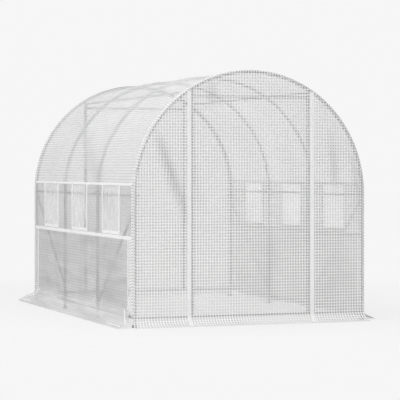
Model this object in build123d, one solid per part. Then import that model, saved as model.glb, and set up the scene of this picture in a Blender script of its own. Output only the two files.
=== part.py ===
"""Walk-in polytunnel: a hooped tube frame under a sheet cover with a zipped front wall.

X runs across the tunnel, Y along it with the front wall at -Y, Z up from the ground.
All lengths are in millimetres.
"""

import os
from math import acos, atan2, degrees, sqrt, tan

from build123d import *

# Tubes: a many sided section stands for a round one
tube_sides = 12

# Hoops: alike, each two straight legs under a half round arch in three tubes
hoop_count = 4
hoop_pitch = 990
hoop_radius = 960
spring_height = 1025
hoop_tube = 25
arch_joint_gap = 0.6

# Purlins, base rails and braces, bolted to the hoops
rail_tube = 19
fit_clearance = 0.3
side_purlin_drop = 13
shoulder_purlin_x = 488
base_rail_height = 68
brace_top_drop = 50
brace_foot_height = 142
lug_length = 40
lug_width = 22
lug_thickness = 4
lug_corner_cut = 7

# Door frame in each end hoop
header_drop = 38

# Moulded feet
foot_plate = 37
foot_plate_thickness = 5
foot_corner_cut = 6
foot_block = 30
foot_block_height = 17
foot_leg_seat = 7

# Cover sheets
cover_thickness = 2
cover_clearance = 0.5
end_fold_height = 14
end_fold_radius = 90
end_flare = 98
end_spread = 20
end_corner_radius = 10
side_fold_height = 66
side_fold_radius = 140
side_flare = 150
skirt_top = 125
skirt_lead = 72
skirt_lead_out = 60
skirt_tip_radius = 50
upper_seam_rise = 75
lower_seam_height = 683
corner_strip_width = 118
corner_strip_foot = 65
corner_slit = 14

# Zips, tapes and edge binding on the cover
trim_thickness = 1.5
trim_clearance = 0.3
zip_width = 33
zip_x = 520
zip_end_gap = 9
zip_head_gap = 8
rim_width = 58
upper_tape_width = 20
lower_tape_width = 28

# Side windows
window_count = 3
window_pitch = 900
window_width = 480
window_head_drop = 16
window_sill_rise = 44
window_trim_width = 30
window_hem_width = 25

# Tools for cutting
cut_overrun = 20

# Places that follow from the sizes above
purlin_inset = hoop_tube / 2 + fit_clearance + rail_tube / 2
side_purlin_x = hoop_radius - purlin_inset
side_purlin_height = spring_height - side_purlin_drop
shoulder_purlin_radius = hoop_radius - purlin_inset
shoulder_angle = degrees(acos(shoulder_purlin_x / shoulder_purlin_radius))
shoulder_purlin_height = spring_height + sqrt(shoulder_purlin_radius**2 - shoulder_purlin_x**2)
header_height = shoulder_purlin_height - header_drop
post_foot_height = base_rail_height + rail_tube / 2 + fit_clearance
post_head_height = shoulder_purlin_height - rail_tube / 2 - fit_clearance
header_reach = shoulder_purlin_x - hoop_tube / 2 - fit_clearance
end_rail_reach = hoop_radius - hoop_tube / 2 - fit_clearance
hoop_places = [(i - (hoop_count - 1) / 2) * hoop_pitch for i in range(hoop_count)]
hoop_names = ["front", "second", "third", "rear"]
last_hoop = hoop_places[-1]
purlin_reach = last_hoop + hoop_tube / 2
base_rail_reach = last_hoop - rail_tube / 2 - fit_clearance
cover_inner = hoop_radius + hoop_tube / 2 + cover_clearance
cover_outer = cover_inner + cover_thickness
wall_inner = last_hoop + hoop_tube / 2 + cover_clearance
wall_outer = wall_inner + cover_thickness
upper_seam_height = spring_height + upper_seam_rise
end_bend_top = end_fold_height + end_fold_radius
side_bend_top = side_fold_height + side_fold_radius * tan(atan2(side_flare, side_fold_height) / 2)
apron_reach = wall_outer - corner_strip_width - corner_slit
skirt_reach = wall_outer + skirt_lead
overall_height = spring_height + cover_outer
overall_reach = wall_outer + end_flare
end_half_width = cover_outer + end_spread
overall_half_width = cover_outer + side_flare
beyond = overall_height + overall_reach


def save(name, *shapes):
    """Write one node, whose solids may be several like pieces."""
    solids = [solid for shape in shapes for solid in shape.solids()]
    export_step(solids[0] if len(solids) == 1 else Compound(solids), f"parts/{name}.step")


def across(shape):
    """The same piece on the left side of the tunnel."""
    return mirror(shape, Plane.YZ)


def tube_section(diameter):
    """Outline of a tube, with its corners on the tube's own circle."""
    return RegularPolygon(diameter / 2, tube_sides)


def rod(start, end, diameter):
    """Straight tube from start to end."""
    run = Vector(*end) - Vector(*start)
    return extrude(Plane(origin=start, z_dir=run) * tube_section(diameter), run.length)


def zone(low, high):
    """Box between two corners, used to keep part of a piece."""
    size = Vector(*high) - Vector(*low)
    return Pos(*((Vector(*low) + Vector(*high)) / 2)) * Box(*size)


# Hoops
def arch_tube(y, start_angle, end_angle):
    """One bent tube of an arch, with angles from +X up to +Z."""
    section = Pos(hoop_radius, 0, 0) * tube_section(hoop_tube)
    bend = revolve(section, Axis((0, 0, 0), (0, -1, 0)), end_angle - start_angle)
    return Pos(0, y, spring_height) * Rot(0, -start_angle, 0) * bend


def hoop_arch(y):
    """Three tubes of one arch, with a fine joint at each shoulder purlin."""
    half_gap = degrees(arch_joint_gap / 2 / hoop_radius)
    joints = [0, shoulder_angle, 180 - shoulder_angle, 180]
    pairs = zip(joints[:-1], joints[1:])
    spans = [(low + half_gap * (low > 0), high - half_gap * (high < 180)) for low, high in pairs]
    return [arch_tube(y, *span) for span in spans]


def hoop_leg(y):
    """Straight tube from its seat in the foot up to the spring of the arch."""
    return rod((hoop_radius, y, foot_leg_seat), (hoop_radius, y, spring_height), hoop_tube)


def foot(y):
    """Moulded foot: a ground plate with cut corners and a block around the end of the leg."""
    plate_box = Pos(0, 0, foot_plate_thickness / 2) * Box(foot_plate, foot_plate, foot_plate_thickness)
    plate = chamfer(plate_box.edges().filter_by(Axis.Z), foot_corner_cut)
    block = Pos(0, 0, foot_block_height / 2) * Box(foot_block, foot_block, foot_block_height)
    top = (0, 0, foot_block_height + cut_overrun)
    socket = rod((0, 0, foot_leg_seat), top, hoop_tube + 2 * fit_clearance)
    return Pos(hoop_radius, y, 0) * (plate + block - socket)


# Rails that run the length of the tunnel
def long_rail(x, z, reach):
    """Rail along the tunnel, inside the hoops, at a place across it and a height."""
    return rod((x, -reach, z), (x, reach, z), rail_tube)


# Rails and posts of an end frame, in the plane of its hoop
def end_base_rail(y):
    """Rail near the ground between the legs of an end hoop."""
    return rod((-end_rail_reach, y, base_rail_height), (end_rail_reach, y, base_rail_height), rail_tube)


def post(y):
    """Upright from the base rail to the shoulder purlin."""
    x = shoulder_purlin_x
    return rod((x, y, post_foot_height), (x, y, post_head_height), hoop_tube)


def header(y):
    """Bar between the heads of the two posts."""
    return rod((-header_reach, y, header_height), (header_reach, y, header_height), rail_tube)


# Braces in the end bays
def brace(end_hoop, next_hoop):
    """Tube with flattened ends, from under the side purlin down to the next hoop's leg."""
    x = hoop_radius - hoop_tube / 2 - fit_clearance - lug_thickness / 2
    top = Vector(x, end_hoop, side_purlin_height - brace_top_drop)
    foot_end = Vector(x, next_hoop, brace_foot_height)
    run = (foot_end - top).normalized()
    bar = rod(top + run * lug_length, foot_end - run * lug_length, rail_tube)
    outline = Rectangle(lug_length + lug_width, lug_width)
    lug = chamfer(outline.vertices(), lug_corner_cut)
    for pin, way in ((top, run), (foot_end, -run)):
        plane = Plane(origin=pin + way * (lug_length / 2), x_dir=way, z_dir=(1, 0, 0))
        bar += extrude(plane * lug, lug_thickness / 2, both=True)
    return bar


# Cover: one section over the hoops, cut into roof, window bands and aprons
def layer_section(path, gap, thickness, side):
    """Section of a layer on one side of a line, clear of the line by a gap."""
    section = make_face(path.offset_2d(gap + thickness, side=side))
    return section - make_face(path.offset_2d(gap, side=side)) if gap else section


def side_layer(gap, thickness, side):
    """Sheet over the hoops from skirt edge to skirt edge, laid inside or outside the cover line."""
    grow = (side_fold_height + cut_overrun) / side_fold_height
    tip = (cover_outer + side_flare * grow, side_fold_height - side_fold_height * grow)
    fold, spring = (cover_outer, side_fold_height), (cover_outer, spring_height)
    half = FilletPolyline(tip, fold, spring, radius=side_fold_radius)
    crown = (0, overall_height)
    arch = ThreePointArc((cover_outer, spring_height), crown, (-cover_outer, spring_height))
    path = Wire([*half.edges(), *arch.edges(), *mirror(half, Plane.YZ).edges()])
    section = layer_section(path, gap, thickness, side)
    sheet = extrude(Plane.XZ * section, skirt_reach, both=True)
    return split(sheet, Plane.XY, keep=Keep.TOP)


cover_layer = side_layer(0, cover_thickness, Side.LEFT)
trim_layer = side_layer(trim_clearance, trim_thickness, Side.RIGHT)


def right_side(layer, low_y, high_y, low_z, high_z):
    """Part of a layer on the right wall, between two places along it and two heights."""
    return layer & zone((cover_inner / 2, low_y, low_z), (beyond, high_y, high_z))


def apron():
    """Lower side wall, free at its ends, over a flared skirt that leads past it in round tips."""
    wall = right_side(cover_layer, -apron_reach, apron_reach, skirt_top, lower_seam_height)
    skirt = right_side(cover_layer, -skirt_reach, skirt_reach, 0, skirt_top)
    inner = [(0, apron_reach), (cover_outer, apron_reach)]
    half = [*inner, (cover_outer + skirt_lead_out, skirt_reach), (overall_half_width, skirt_reach)]
    outline = make_face(Polyline(*half, *[(x, -y) for x, y in reversed(half)], close=True))
    ends = outline.vertices().group_by(Axis.Y)
    plan = fillet([*ends[0], *ends[-1]], skirt_tip_radius)
    return wall + (skirt & extrude(plan, skirt_top))


window_places = [(i - (window_count - 1) / 2) * window_pitch for i in range(window_count)]
window_head = upper_seam_height - window_head_drop
window_sill = lower_seam_height + window_sill_rise


def window_zone(y, margin):
    """Box through the right wall around one window."""
    half = window_width / 2 + margin
    return zone((cover_inner / 2, y - half, window_sill - margin), (beyond, y + half, window_head + margin))


def window_trim(y):
    """Tape down both sides of a window and along its hem."""
    edge = window_width / 2
    low, high = lower_seam_height + lower_tape_width / 2, upper_seam_height - upper_tape_width / 2
    low += fit_clearance
    high -= fit_clearance
    reach = edge + window_trim_width
    frame = right_side(trim_layer, y - reach, y + reach, max(low, window_sill - window_hem_width), high)
    opening = zone((cover_inner / 2, y - edge, window_sill), (beyond, y + edge, high + cut_overrun))
    return frame - opening


def tape(height, width):
    """Tape along the right wall over a seam."""
    reach = wall_inner - rim_width - fit_clearance
    return right_side(trim_layer, -reach, reach, height - width / 2, height + width / 2)


def corner_strip(way):
    """Upright strip of cover beside an end wall, below the lower seam."""
    low, high = sorted((way * (apron_reach + corner_slit), way * wall_inner))
    return zone((cover_inner, low, corner_strip_foot), (cover_outer, high, lower_seam_height))


# End walls: a flat sheet in the arch with a flared skirt along the ground
def arch_face(half_width):
    """Outline of a tunnel end from the top of the skirt bend up to the crown."""
    w, low = half_width, end_bend_top
    sides = Polyline((-w, spring_height), (-w, low), (w, low), (w, spring_height))
    arch = ThreePointArc((w, spring_height), (0, spring_height + w), (-w, spring_height))
    return make_face([*sides.edges(), *arch.edges()])


def end_skirt(gap, thickness, side, low_x, high_x):
    """Flared skirt of the front wall between two places across it."""
    grow = (end_fold_height + cut_overrun) / end_fold_height
    tip = (-wall_outer - end_flare * grow, end_fold_height - end_fold_height * grow)
    corner, top = (-wall_outer, end_fold_height), (-wall_outer, end_bend_top)
    path = FilletPolyline(tip, corner, top, radius=end_fold_radius)
    section = layer_section(Wire(path.edges()), gap, thickness, side)
    strip = Pos(low_x, 0, 0) * extrude(Plane.YZ * section, high_x - low_x)
    return split(strip, Plane.XY, keep=Keep.TOP)


def front_sheet():
    """Front wall before it is cut at the zips."""
    flat = extrude(Plane.XZ.offset(wall_inner) * arch_face(cover_outer), cover_thickness)
    skirt = end_skirt(0, cover_thickness, Side.RIGHT, -end_half_width, end_half_width)
    half = [(cover_outer, 0), (cover_outer, -wall_outer), (end_half_width, -overall_reach)]
    outline = make_face(Polyline(*half, *[(-x, y) for x, y in reversed(half)], close=True))
    plan = fillet(outline.vertices().group_by(Axis.Y)[0], end_corner_radius)
    return flat + (skirt & extrude(plan, end_bend_top))


def between(sheet, low_x, high_x):
    """Part of the front sheet between two places across it."""
    return sheet & zone((low_x, -beyond, 0), (high_x, 0, beyond))


def front_zip():
    """Zip on the right of the door, from the rim down over the bend of the skirt."""
    low_x, high_x = zip_x - zip_width / 2, zip_x + zip_width / 2
    face = arch_face(cover_outer - zip_head_gap)
    flat = extrude(Plane.XZ.offset(wall_outer + trim_clearance) * face, trim_thickness)
    skirt = end_skirt(trim_clearance, trim_thickness, Side.LEFT, low_x, high_x)
    strip = between(flat, low_x, high_x) + skirt
    return strip & zone((low_x, zip_end_gap - overall_reach, 0), (high_x, 0, overall_height))


def front_rim():
    """Band where the front wall is lapped over roof and sides, in lengths that meet at their seams."""
    low_y, high_y = -wall_inner, rim_width - wall_inner
    side = right_side(trim_layer, low_y, high_y, side_bend_top, upper_seam_height - fit_clearance)
    over_roof = trim_layer & zone((-beyond, low_y, upper_seam_height), (beyond, high_y, beyond))
    return [over_roof, side, across(side)]


os.makedirs("parts", exist_ok=True)

for name, y in zip(hoop_names, hoop_places):
    save(f"{name}_hoop_arch", *hoop_arch(y))
    save(f"{name}_hoop_legs", hoop_leg(y), across(hoop_leg(y)))

window_band = right_side(cover_layer, -wall_inner, wall_inner, lower_seam_height, upper_seam_height)
windows = [window_band & window_zone(y, -fit_clearance) for y in window_places]
for y in window_places:
    window_band -= window_zone(y, 0)
tapes = [tape(upper_seam_height, upper_tape_width), tape(lower_seam_height, lower_tape_width)]
tapes += [window_trim(y) for y in window_places]

right_side_nodes = {
    "side_purlin": [long_rail(side_purlin_x, side_purlin_height, purlin_reach)],
    "shoulder_purlin": [long_rail(shoulder_purlin_x, shoulder_purlin_height, purlin_reach)],
    "base_rail": [long_rail(side_purlin_x, base_rail_height, base_rail_reach)],
    "braces": [brace(*hoop_places[:2]), brace(*hoop_places[:-3:-1])],
    "feet": [foot(y) for y in hoop_places],
    "apron": [apron()],
    "corner_strips": [corner_strip(-1), corner_strip(1)],
    "window_band": [window_band],
    "windows": windows,
    "tapes": tapes,
}
for name, pieces in right_side_nodes.items():
    save(f"right_{name}", *pieces)
    save(f"left_{name}", *[across(piece) for piece in pieces])

for name, y in (("front", -last_hoop), ("rear", last_hoop)):
    save(f"{name}_base_rail", end_base_rail(y))
    save(f"{name}_door_posts", post(y), across(post(y)))
    save(f"{name}_door_header", header(y))

front = front_sheet()
zips = front_zip()
roof_zone = zone((-beyond, -wall_inner, upper_seam_height), (beyond, wall_inner, beyond))
save("roof_cover", cover_layer & roof_zone)
save("front_wall_right", between(front, zip_x, end_half_width))
save("front_wall_left", between(front, -end_half_width, -zip_x))
save("front_door", between(front, -zip_x, zip_x))
save("front_zips", zips, across(zips))
save("front_rim", *front_rim())
save("rear_wall", mirror(front, Plane.XZ))
save("rear_rim", *[mirror(piece, Plane.XZ) for piece in front_rim()])
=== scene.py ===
"""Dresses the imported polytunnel: round tubes, hung cover sheets, tapes, zips and a pale studio.

Each cover sheet is cut flat in metres, as at a sewing bench, and is then hung on the line of the
frame, so that its reinforcing grid and its stitching keep to the cloth.
"""

import logging
import math
from abc import ABC, abstractmethod
from dataclasses import dataclass, replace
from enum import Enum
from typing import Callable, Iterable, Optional, Sequence

import bmesh
import bpy
from bmesh.types import BMEdge, BMesh, BMVert
from bpy.types import ID, Material, Node, NodeSocket, NodeTree, Object
from mathutils import Matrix, Vector, noise


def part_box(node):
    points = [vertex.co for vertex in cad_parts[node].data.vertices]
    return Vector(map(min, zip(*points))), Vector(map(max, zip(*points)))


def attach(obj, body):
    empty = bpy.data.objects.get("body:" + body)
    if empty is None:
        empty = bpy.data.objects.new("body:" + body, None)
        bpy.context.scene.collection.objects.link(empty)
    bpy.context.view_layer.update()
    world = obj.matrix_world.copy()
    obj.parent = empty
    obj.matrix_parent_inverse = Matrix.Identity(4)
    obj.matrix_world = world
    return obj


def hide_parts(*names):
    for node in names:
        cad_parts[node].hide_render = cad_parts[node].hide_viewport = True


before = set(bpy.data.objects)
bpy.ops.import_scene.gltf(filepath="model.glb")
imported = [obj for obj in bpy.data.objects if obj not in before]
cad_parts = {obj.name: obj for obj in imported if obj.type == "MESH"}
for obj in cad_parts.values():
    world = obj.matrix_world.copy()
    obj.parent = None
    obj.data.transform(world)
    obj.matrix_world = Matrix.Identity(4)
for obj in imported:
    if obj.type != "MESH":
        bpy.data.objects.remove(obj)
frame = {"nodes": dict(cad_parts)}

LOG = logging.getLogger("polytunnel")
BODY = "root"
CLOTH_MAP = "Cloth"
GATHER = "gather"
MM = 0.001
HOOP_NAMES = ("front", "second", "third", "rear")
ZIP_PLACE = 0.52  # zips on each side of the middle of the front wall
SEAM_GAP = 0.3 * MM  # between pieces that meet at a seam
FACE_INSET = 0.5 * MM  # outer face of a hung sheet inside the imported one
CUT_PAST = 1 * MM  # how far a cut goes past the edge of the cloth

Lift = Callable[[float, float], float]
Sockets = dict[object, object]


class Way(Enum):
    """Way from the middle of the tunnel, by the sign of an axis."""

    @property
    def label(self) -> str:
        """Word that the names of pieces there start with."""
        return self.name.lower()


class Side(Way):
    """Long side of the tunnel, along X."""

    LEFT = -1
    RIGHT = 1


class End(Way):
    """End of the tunnel, along Y."""

    FRONT = -1
    REAR = 1


class Slot(Enum):
    """Names of the material slots of the record."""

    TUBE = "galvanised_tube"
    PLASTIC = "black_plastic"
    COVER = "cover_sheet"
    MESH = "window_mesh"
    TAPE = "white_tape"
    ZIP = "zip_tape"


class Hold(Enum):
    """How a sheet is held."""

    STRETCHED = "stretched"
    HUNG = "hung"


def linear(code: str) -> tuple[float, float, float, float]:
    """Turns a colour that is written as sRGB into linear light.

    Args:
        code: Six hex digits.

    Returns:
        Red, green, blue and an alpha of one.
    """
    parts = [int(code[i:i + 2], 16) / 255 for i in (0, 2, 4)]
    light = [p / 12.92 if p <= 0.04045 else ((p + 0.055) / 1.055) ** 2.4 for p in parts]
    return light[0], light[1], light[2], 1.0


def smooth(share: float) -> float:
    """Eases a share from 0 to 1, held flat outside that range."""
    t = min(max(share, 0.0), 1.0)
    return t * t * (3 - 2 * t)


def add_node(tree: NodeTree, kind: str, inputs: Optional[Sockets] = None, **settings: object) -> Node:
    """Adds one node with its settings and links.

    Args:
        tree: Node tree of a material or of the world.
        kind: Type name of the node, without the prefix that all shader nodes share.
        inputs: Values of its sockets by name or number. A socket is linked, and a node by its first socket.
        settings: Properties of the node itself.

    Returns:
        The new node.
    """
    node = tree.nodes.new(f"ShaderNode{kind}")
    for key, value in settings.items():
        setattr(node, key, value)
    for key, value in (inputs or {}).items():
        source = value.outputs[0] if isinstance(value, Node) else value
        if isinstance(source, NodeSocket):
            tree.links.new(source, node.inputs[key])
        else:
            node.inputs[key].default_value = source
    return node


# Finishes


@dataclass(frozen=True)
class Finish(ABC):
    """A real material, and how it is drawn with nodes."""

    name: str

    def material(self) -> Material:
        """Gives the material, which is made on its first use.

        Returns:
            The node material of this finish.
        """
        found = bpy.data.materials.get(self.name)
        if found:
            return found
        made = bpy.data.materials.new(self.name)
        made.use_nodes = True
        made.node_tree.nodes.clear()
        add_node(made.node_tree, "OutputMaterial", {"Surface": self.shader(made.node_tree)})
        return made

    @abstractmethod
    def shader(self, tree: NodeTree) -> Node:
        """Builds the nodes of the finish.

        Args:
            tree: Empty node tree of the new material.

        Returns:
            The node that goes to the surface.
        """


def thread_mask(tree: NodeTree, place: NodeSocket, pitch: float, width: float, softness: float) -> Node:
    """Draws parallel threads across one coordinate.

    Args:
        tree: Node tree that the nodes go to.
        place: The coordinate, in metres.
        pitch: From thread to thread, in metres.
        width: Width of a thread, in metres.
        softness: Width over which its edge fades, in metres.

    Returns:
        A node whose value is 1 on a thread and 0 between threads.
    """
    turns = add_node(tree, "Math", {0: place, 1: pitch}, operation="DIVIDE")
    away = add_node(tree, "Math", {0: turns, 1: 0.5}, operation="PINGPONG")
    half, fade = width / pitch / 2, softness / pitch / 2
    return add_node(
        tree, "MapRange", {"Value": away, "From Min": half + fade, "From Max": half - fade},
        interpolation_type="SMOOTHSTEP",
    )


@dataclass(frozen=True)
class GridSheet(Finish):
    """Clear polyethylene film over a white reinforcing grid, calendered to one sheet.

    The film is faintly cloudy and glossy, and the grid stands out white in any light. Real threads are
    some 8 mm apart; they are drawn at the pitch that the picture shows.

    Attributes:
        pitch: From thread to thread.
        thread_width: Width of a thread.
        thread_edge: Width over which its edge fades.
        thread_drift: How far the threads stray from a straight line.
        thread_cover: Share that a thread hides of what lies behind it.
        film_cover: Share that the film hides.
        gather_cover: Share that cloth hides besides, where it lies double.
        thread_colour: Colour of the threads.
        film_colour: Colour of the film.
        let_through: Share of its own light that passes through.
        cloud: How much the film's cloudiness varies, as a share.
        streak: How much the rolled sheet's level streaks vary its tone.
        pale: Painted light: how much paler the sheet's colour is made below a run, where the skirt turns out
            to the light.
        painted_light_run: That run.
        painted_light_fade: Distance from it at which the change is done.
        painted_fold_shade: Painted shade: how much the colour is darkened on the crests of folds, where the
            cloth lies double.
    """

    pitch: float = 23 * MM
    thread_width: float = 11 * MM
    thread_edge: float = 5.5 * MM
    thread_drift: float = 4 * MM
    thread_cover: float = 0.72
    film_cover: float = 0.36
    gather_cover: float = 0.6
    thread_colour: str = "F9F9F9"
    film_colour: str = "BDBDBD"
    let_through: float = 0.1
    cloud: float = 0.8
    streak: float = 0.0
    pale: float = 0.0
    painted_light_run: float = 0.0
    painted_light_fade: float = 40 * MM
    painted_fold_shade: float = 0.2

    @staticmethod
    def face_share(cover: float) -> float:
        """Share that one of the two faces of a sheet hides, for what the whole sheet hides."""
        return 1 - math.sqrt(1 - cover)

    def opacity(self, tree: NodeTree, cloth: Node, masks: Sequence[Node], gather: NodeSocket) -> Node:
        """Builds the share that one face hides of what lies behind it.

        Args:
            tree: Node tree of the material.
            cloth: The cloth's own map.
            masks: Threads both ways.
            gather: Share to which the cloth lies double.

        Returns:
            A node from 0, clear, to 1.
        """
        hide = -self.face_share(self.thread_cover)
        bare = [add_node(tree, "Math", {0: mask, 1: hide, 2: 1.0}, operation="MULTIPLY_ADD") for mask in masks]
        gaps = add_node(tree, "Math", {0: bare[0], 1: bare[1]}, operation="MULTIPLY")
        haze = add_node(tree, "TexNoise", {"Vector": cloth, "Scale": 1.7}, noise_dimensions="2D")
        cloud = self.cloud * self.film_cover * (1 - self.film_cover)
        film = add_node(
            tree, "MapRange",
            {"Value": haze, "From Min": 0.3, "From Max": 0.7,
             "To Min": 1 - self.face_share(self.film_cover - cloud),
             "To Max": 1 - self.face_share(self.film_cover + cloud)},
        )
        double = 1 - self.face_share(self.gather_cover)
        single = add_node(tree, "MapRange", {"Value": gather, "To Min": 1.0, "To Max": double})
        clear = add_node(tree, "Math", {0: film, 1: single}, operation="MULTIPLY")
        clear = add_node(tree, "Math", {0: gaps, 1: clear}, operation="MULTIPLY")
        return add_node(tree, "Math", {0: 1.0, 1: clear}, operation="SUBTRACT")

    def tone(self, tree: NodeTree, cloth: Node, run: NodeSocket, gather: NodeSocket) -> Node:
        """Builds the factor on the sheet's colours from its streaks, the painted light on its skirt and the
        painted shade on its folds.

        Args:
            tree: Node tree of the material.
            cloth: The cloth's own map.
            run: Distance down the wall, which sets where the skirt's painted light starts.
            gather: Share to which the cloth lies double, which sets the painted shade on the folds.

        Returns:
            A node around 1.
        """
        rolled = add_node(tree, "VectorMath", {0: cloth, 1: (0.9, 9.0, 0)}, operation="MULTIPLY")
        wear = add_node(
            tree, "TexNoise", {"Vector": rolled, "Scale": 2.0, "Detail": 3.0}, noise_dimensions="2D"
        )
        streaks = add_node(
            tree, "MapRange",
            {"Value": wear, "From Min": 0.3, "From Max": 0.7,
             "To Min": 1 - self.streak, "To Max": 1 + self.streak},
        )
        # Painted light: the colour is made paler below a run down the wall, where the skirt turns out to the
        # light.
        skirt = add_node(
            tree, "MapRange",
            {"Value": run, "From Min": self.painted_light_run - self.painted_light_fade,
             "From Max": self.painted_light_run + self.painted_light_fade, "To Min": 1.0, "To Max": 1 + self.pale},
            interpolation_type="SMOOTHSTEP",
        )
        flat = add_node(tree, "Math", {0: streaks, 1: skirt}, operation="MULTIPLY")
        # Painted shade: the colour is darkened on the crests of folds, where the cloth lies double.
        return add_node(tree, "Math", {0: gather, 1: -self.painted_fold_shade, 2: flat}, operation="MULTIPLY_ADD")

    def shader(self, tree: NodeTree) -> Node:
        """Builds the grid on the cloth's own map.

        Args:
            tree: Empty node tree of the new material.

        Returns:
            The node that goes to the surface.
        """
        cloth = add_node(tree, "UVMap", uv_map=CLOTH_MAP)
        gather = add_node(tree, "Attribute", attribute_name=GATHER).outputs["Fac"]
        drift = add_node(
            tree, "TexNoise", {"Vector": cloth, "Scale": 9.0, "Detail": 1.0}, noise_dimensions="2D"
        )
        stray = (self.thread_drift, self.thread_drift, 0)
        moved = add_node(
            tree, "VectorMath", {0: drift.outputs["Color"], 1: stray, 2: cloth}, operation="MULTIPLY_ADD"
        )
        axes = add_node(tree, "SeparateXYZ", {0: moved}).outputs
        masks = [thread_mask(tree, axes[i], self.pitch, self.thread_width, self.thread_edge) for i in (0, 1)]
        thread = add_node(tree, "Math", {0: masks[0], 1: masks[1]}, operation="MAXIMUM")
        film, white = linear(self.film_colour), linear(self.thread_colour)
        plain = add_node(tree, "Mix", {0: thread, 6: film, 7: white}, data_type="RGBA")
        tone = self.tone(tree, cloth, axes[1], gather)
        colour = add_node(tree, "VectorMath", {0: plain.outputs[2], "Scale": tone}, operation="SCALE")
        height = add_node(tree, "Math", {0: masks[0], 1: masks[1]}, operation="ADD")
        bump = add_node(tree, "Bump", {"Strength": 0.35, "Distance": 0.4 * MM, "Height": height})
        rough = add_node(tree, "MapRange", {"Value": thread, "To Min": 0.28, "To Max": 0.5})
        skin = add_node(
            tree, "BsdfPrincipled", {"Base Color": colour, "Roughness": rough, "IOR": 1.5, "Normal": bump}
        )
        glow = add_node(tree, "BsdfTranslucent", {"Color": colour})
        body = add_node(tree, "MixShader", {0: self.let_through, 1: skin, 2: glow})
        clear = add_node(tree, "BsdfTransparent")
        return add_node(tree, "MixShader", {0: self.opacity(tree, cloth, masks, gather), 1: clear, 2: body})


@dataclass(frozen=True)
class MeshPane(Finish):
    """Fine white insect mesh: soft, pale and half see-through.

    Real mesh is about 1.5 mm; it is drawn at 4 mm so that it shows close up.
    """

    pitch: float = 4 * MM
    thread_width: float = 1.9 * MM
    thread_edge: float = 0.8 * MM
    gap_cover: float = 0.2
    thread_cover: float = 0.68
    pleat_cover: tuple[float, float] = (0.3, 1.35)
    let_through: float = 0.65
    colour: str = "F8F8F8"

    def shader(self, tree: NodeTree) -> Node:
        """Builds the net on the cloth's own map, denser on the crests of its pleats than in between.

        Args:
            tree: Empty node tree of the new material.

        Returns:
            The node that goes to the surface.
        """
        axes = add_node(tree, "SeparateXYZ", {0: add_node(tree, "UVMap", uv_map=CLOTH_MAP)}).outputs
        masks = [thread_mask(tree, axes[i], self.pitch, self.thread_width, self.thread_edge) for i in (0, 1)]
        net = add_node(tree, "Math", {0: masks[0], 1: masks[1]}, operation="MAXIMUM")
        single = add_node(
            tree, "MapRange", {"Value": net, "To Min": self.gap_cover, "To Max": self.thread_cover}
        )
        gather = add_node(tree, "Attribute", attribute_name=GATHER).outputs["Fac"]
        low, high = self.pleat_cover
        dense = add_node(tree, "MapRange", {"Value": gather, "To Min": low, "To Max": high})
        opacity = add_node(tree, "Math", {0: single, 1: dense}, operation="MULTIPLY")
        bump = add_node(tree, "Bump", {"Strength": 0.4, "Distance": 0.4 * MM, "Height": net})
        yarn = add_node(
            tree, "BsdfPrincipled",
            {"Base Color": linear(self.colour), "Roughness": 0.75, "IOR": 1.5, "Normal": bump},
        )
        glow = add_node(tree, "BsdfTranslucent", {"Color": linear(self.colour)})
        body = add_node(tree, "MixShader", {0: self.let_through, 1: yarn, 2: glow})
        gaps = add_node(tree, "BsdfTransparent")
        return add_node(tree, "MixShader", {0: opacity, 1: gaps, 2: body})


@dataclass(frozen=True)
class WovenTape(Finish):
    """White polyester tape with a ribbed weave and lines of lockstitch."""

    rib_pitch: float = 2.4 * MM
    stitch_pitch: float = 9 * MM
    colour: str = "FBFBFB"
    shade: str = "E0E0E0"
    let_through: float = 0.08

    def shader(self, tree: NodeTree) -> Node:
        """Builds ribs across the tape and a dashed line of stitches along it.

        Args:
            tree: Empty node tree of the new material.

        Returns:
            The node that goes to the surface.
        """
        axes = add_node(tree, "SeparateXYZ", {0: add_node(tree, "UVMap", uv_map=CLOTH_MAP)}).outputs
        ribs = thread_mask(tree, axes[0], self.rib_pitch, self.rib_pitch * 0.5, self.rib_pitch * 0.4)
        dashes = thread_mask(tree, axes[0], self.stitch_pitch, self.stitch_pitch * 0.66, 1 * MM)
        rows = thread_mask(tree, axes[1], self.stitch_pitch, 1.4 * MM, 0.6 * MM)
        stitch = add_node(tree, "Math", {0: dashes, 1: rows}, operation="MULTIPLY")
        height = add_node(tree, "Math", {0: ribs, 1: 0.4, 2: stitch}, operation="MULTIPLY_ADD")
        bump = add_node(tree, "Bump", {"Strength": 0.5, "Distance": 0.4 * MM, "Height": height})
        mixed = add_node(
            tree, "Mix", {0: stitch, 6: linear(self.colour), 7: linear(self.shade)}, data_type="RGBA"
        )
        colour = mixed.outputs[2]
        yarn = add_node(
            tree, "BsdfPrincipled",
            {"Base Color": colour, "Roughness": 0.7, "IOR": 1.5, "Sheen Weight": 0.15, "Normal": bump},
        )
        glow = add_node(tree, "BsdfTranslucent", {"Color": colour})
        return add_node(tree, "MixShader", {0: self.let_through, 1: yarn, 2: glow})


@dataclass(frozen=True)
class GalvanisedSteel(Finish):
    """Hot dipped steel tube: dull bright metal with a faint zinc spangle."""

    colour: str = "B6B8B9"
    dark: str = "A4A6A7"
    spangle: float = 9 * MM
    roughness: float = 0.48

    def shader(self, tree: NodeTree) -> Node:
        """Builds the spangle on object coordinates.

        Args:
            tree: Empty node tree of the new material.

        Returns:
            The node that goes to the surface.
        """
        place = add_node(tree, "TexCoord").outputs["Object"]
        cells = add_node(tree, "TexVoronoi", {"Vector": place, "Scale": 1 / self.spangle})
        grey = add_node(tree, "SeparateColor", {0: cells.outputs["Color"]}).outputs
        colour = add_node(
            tree, "Mix", {0: grey[0], 6: linear(self.dark), 7: linear(self.colour)}, data_type="RGBA"
        )
        rough = add_node(
            tree, "MapRange",
            {"Value": grey[1], "To Min": self.roughness - 0.06, "To Max": self.roughness + 0.08},
        )
        return add_node(
            tree, "BsdfPrincipled", {"Base Color": colour.outputs[2], "Metallic": 1.0, "Roughness": rough}
        )


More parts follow.
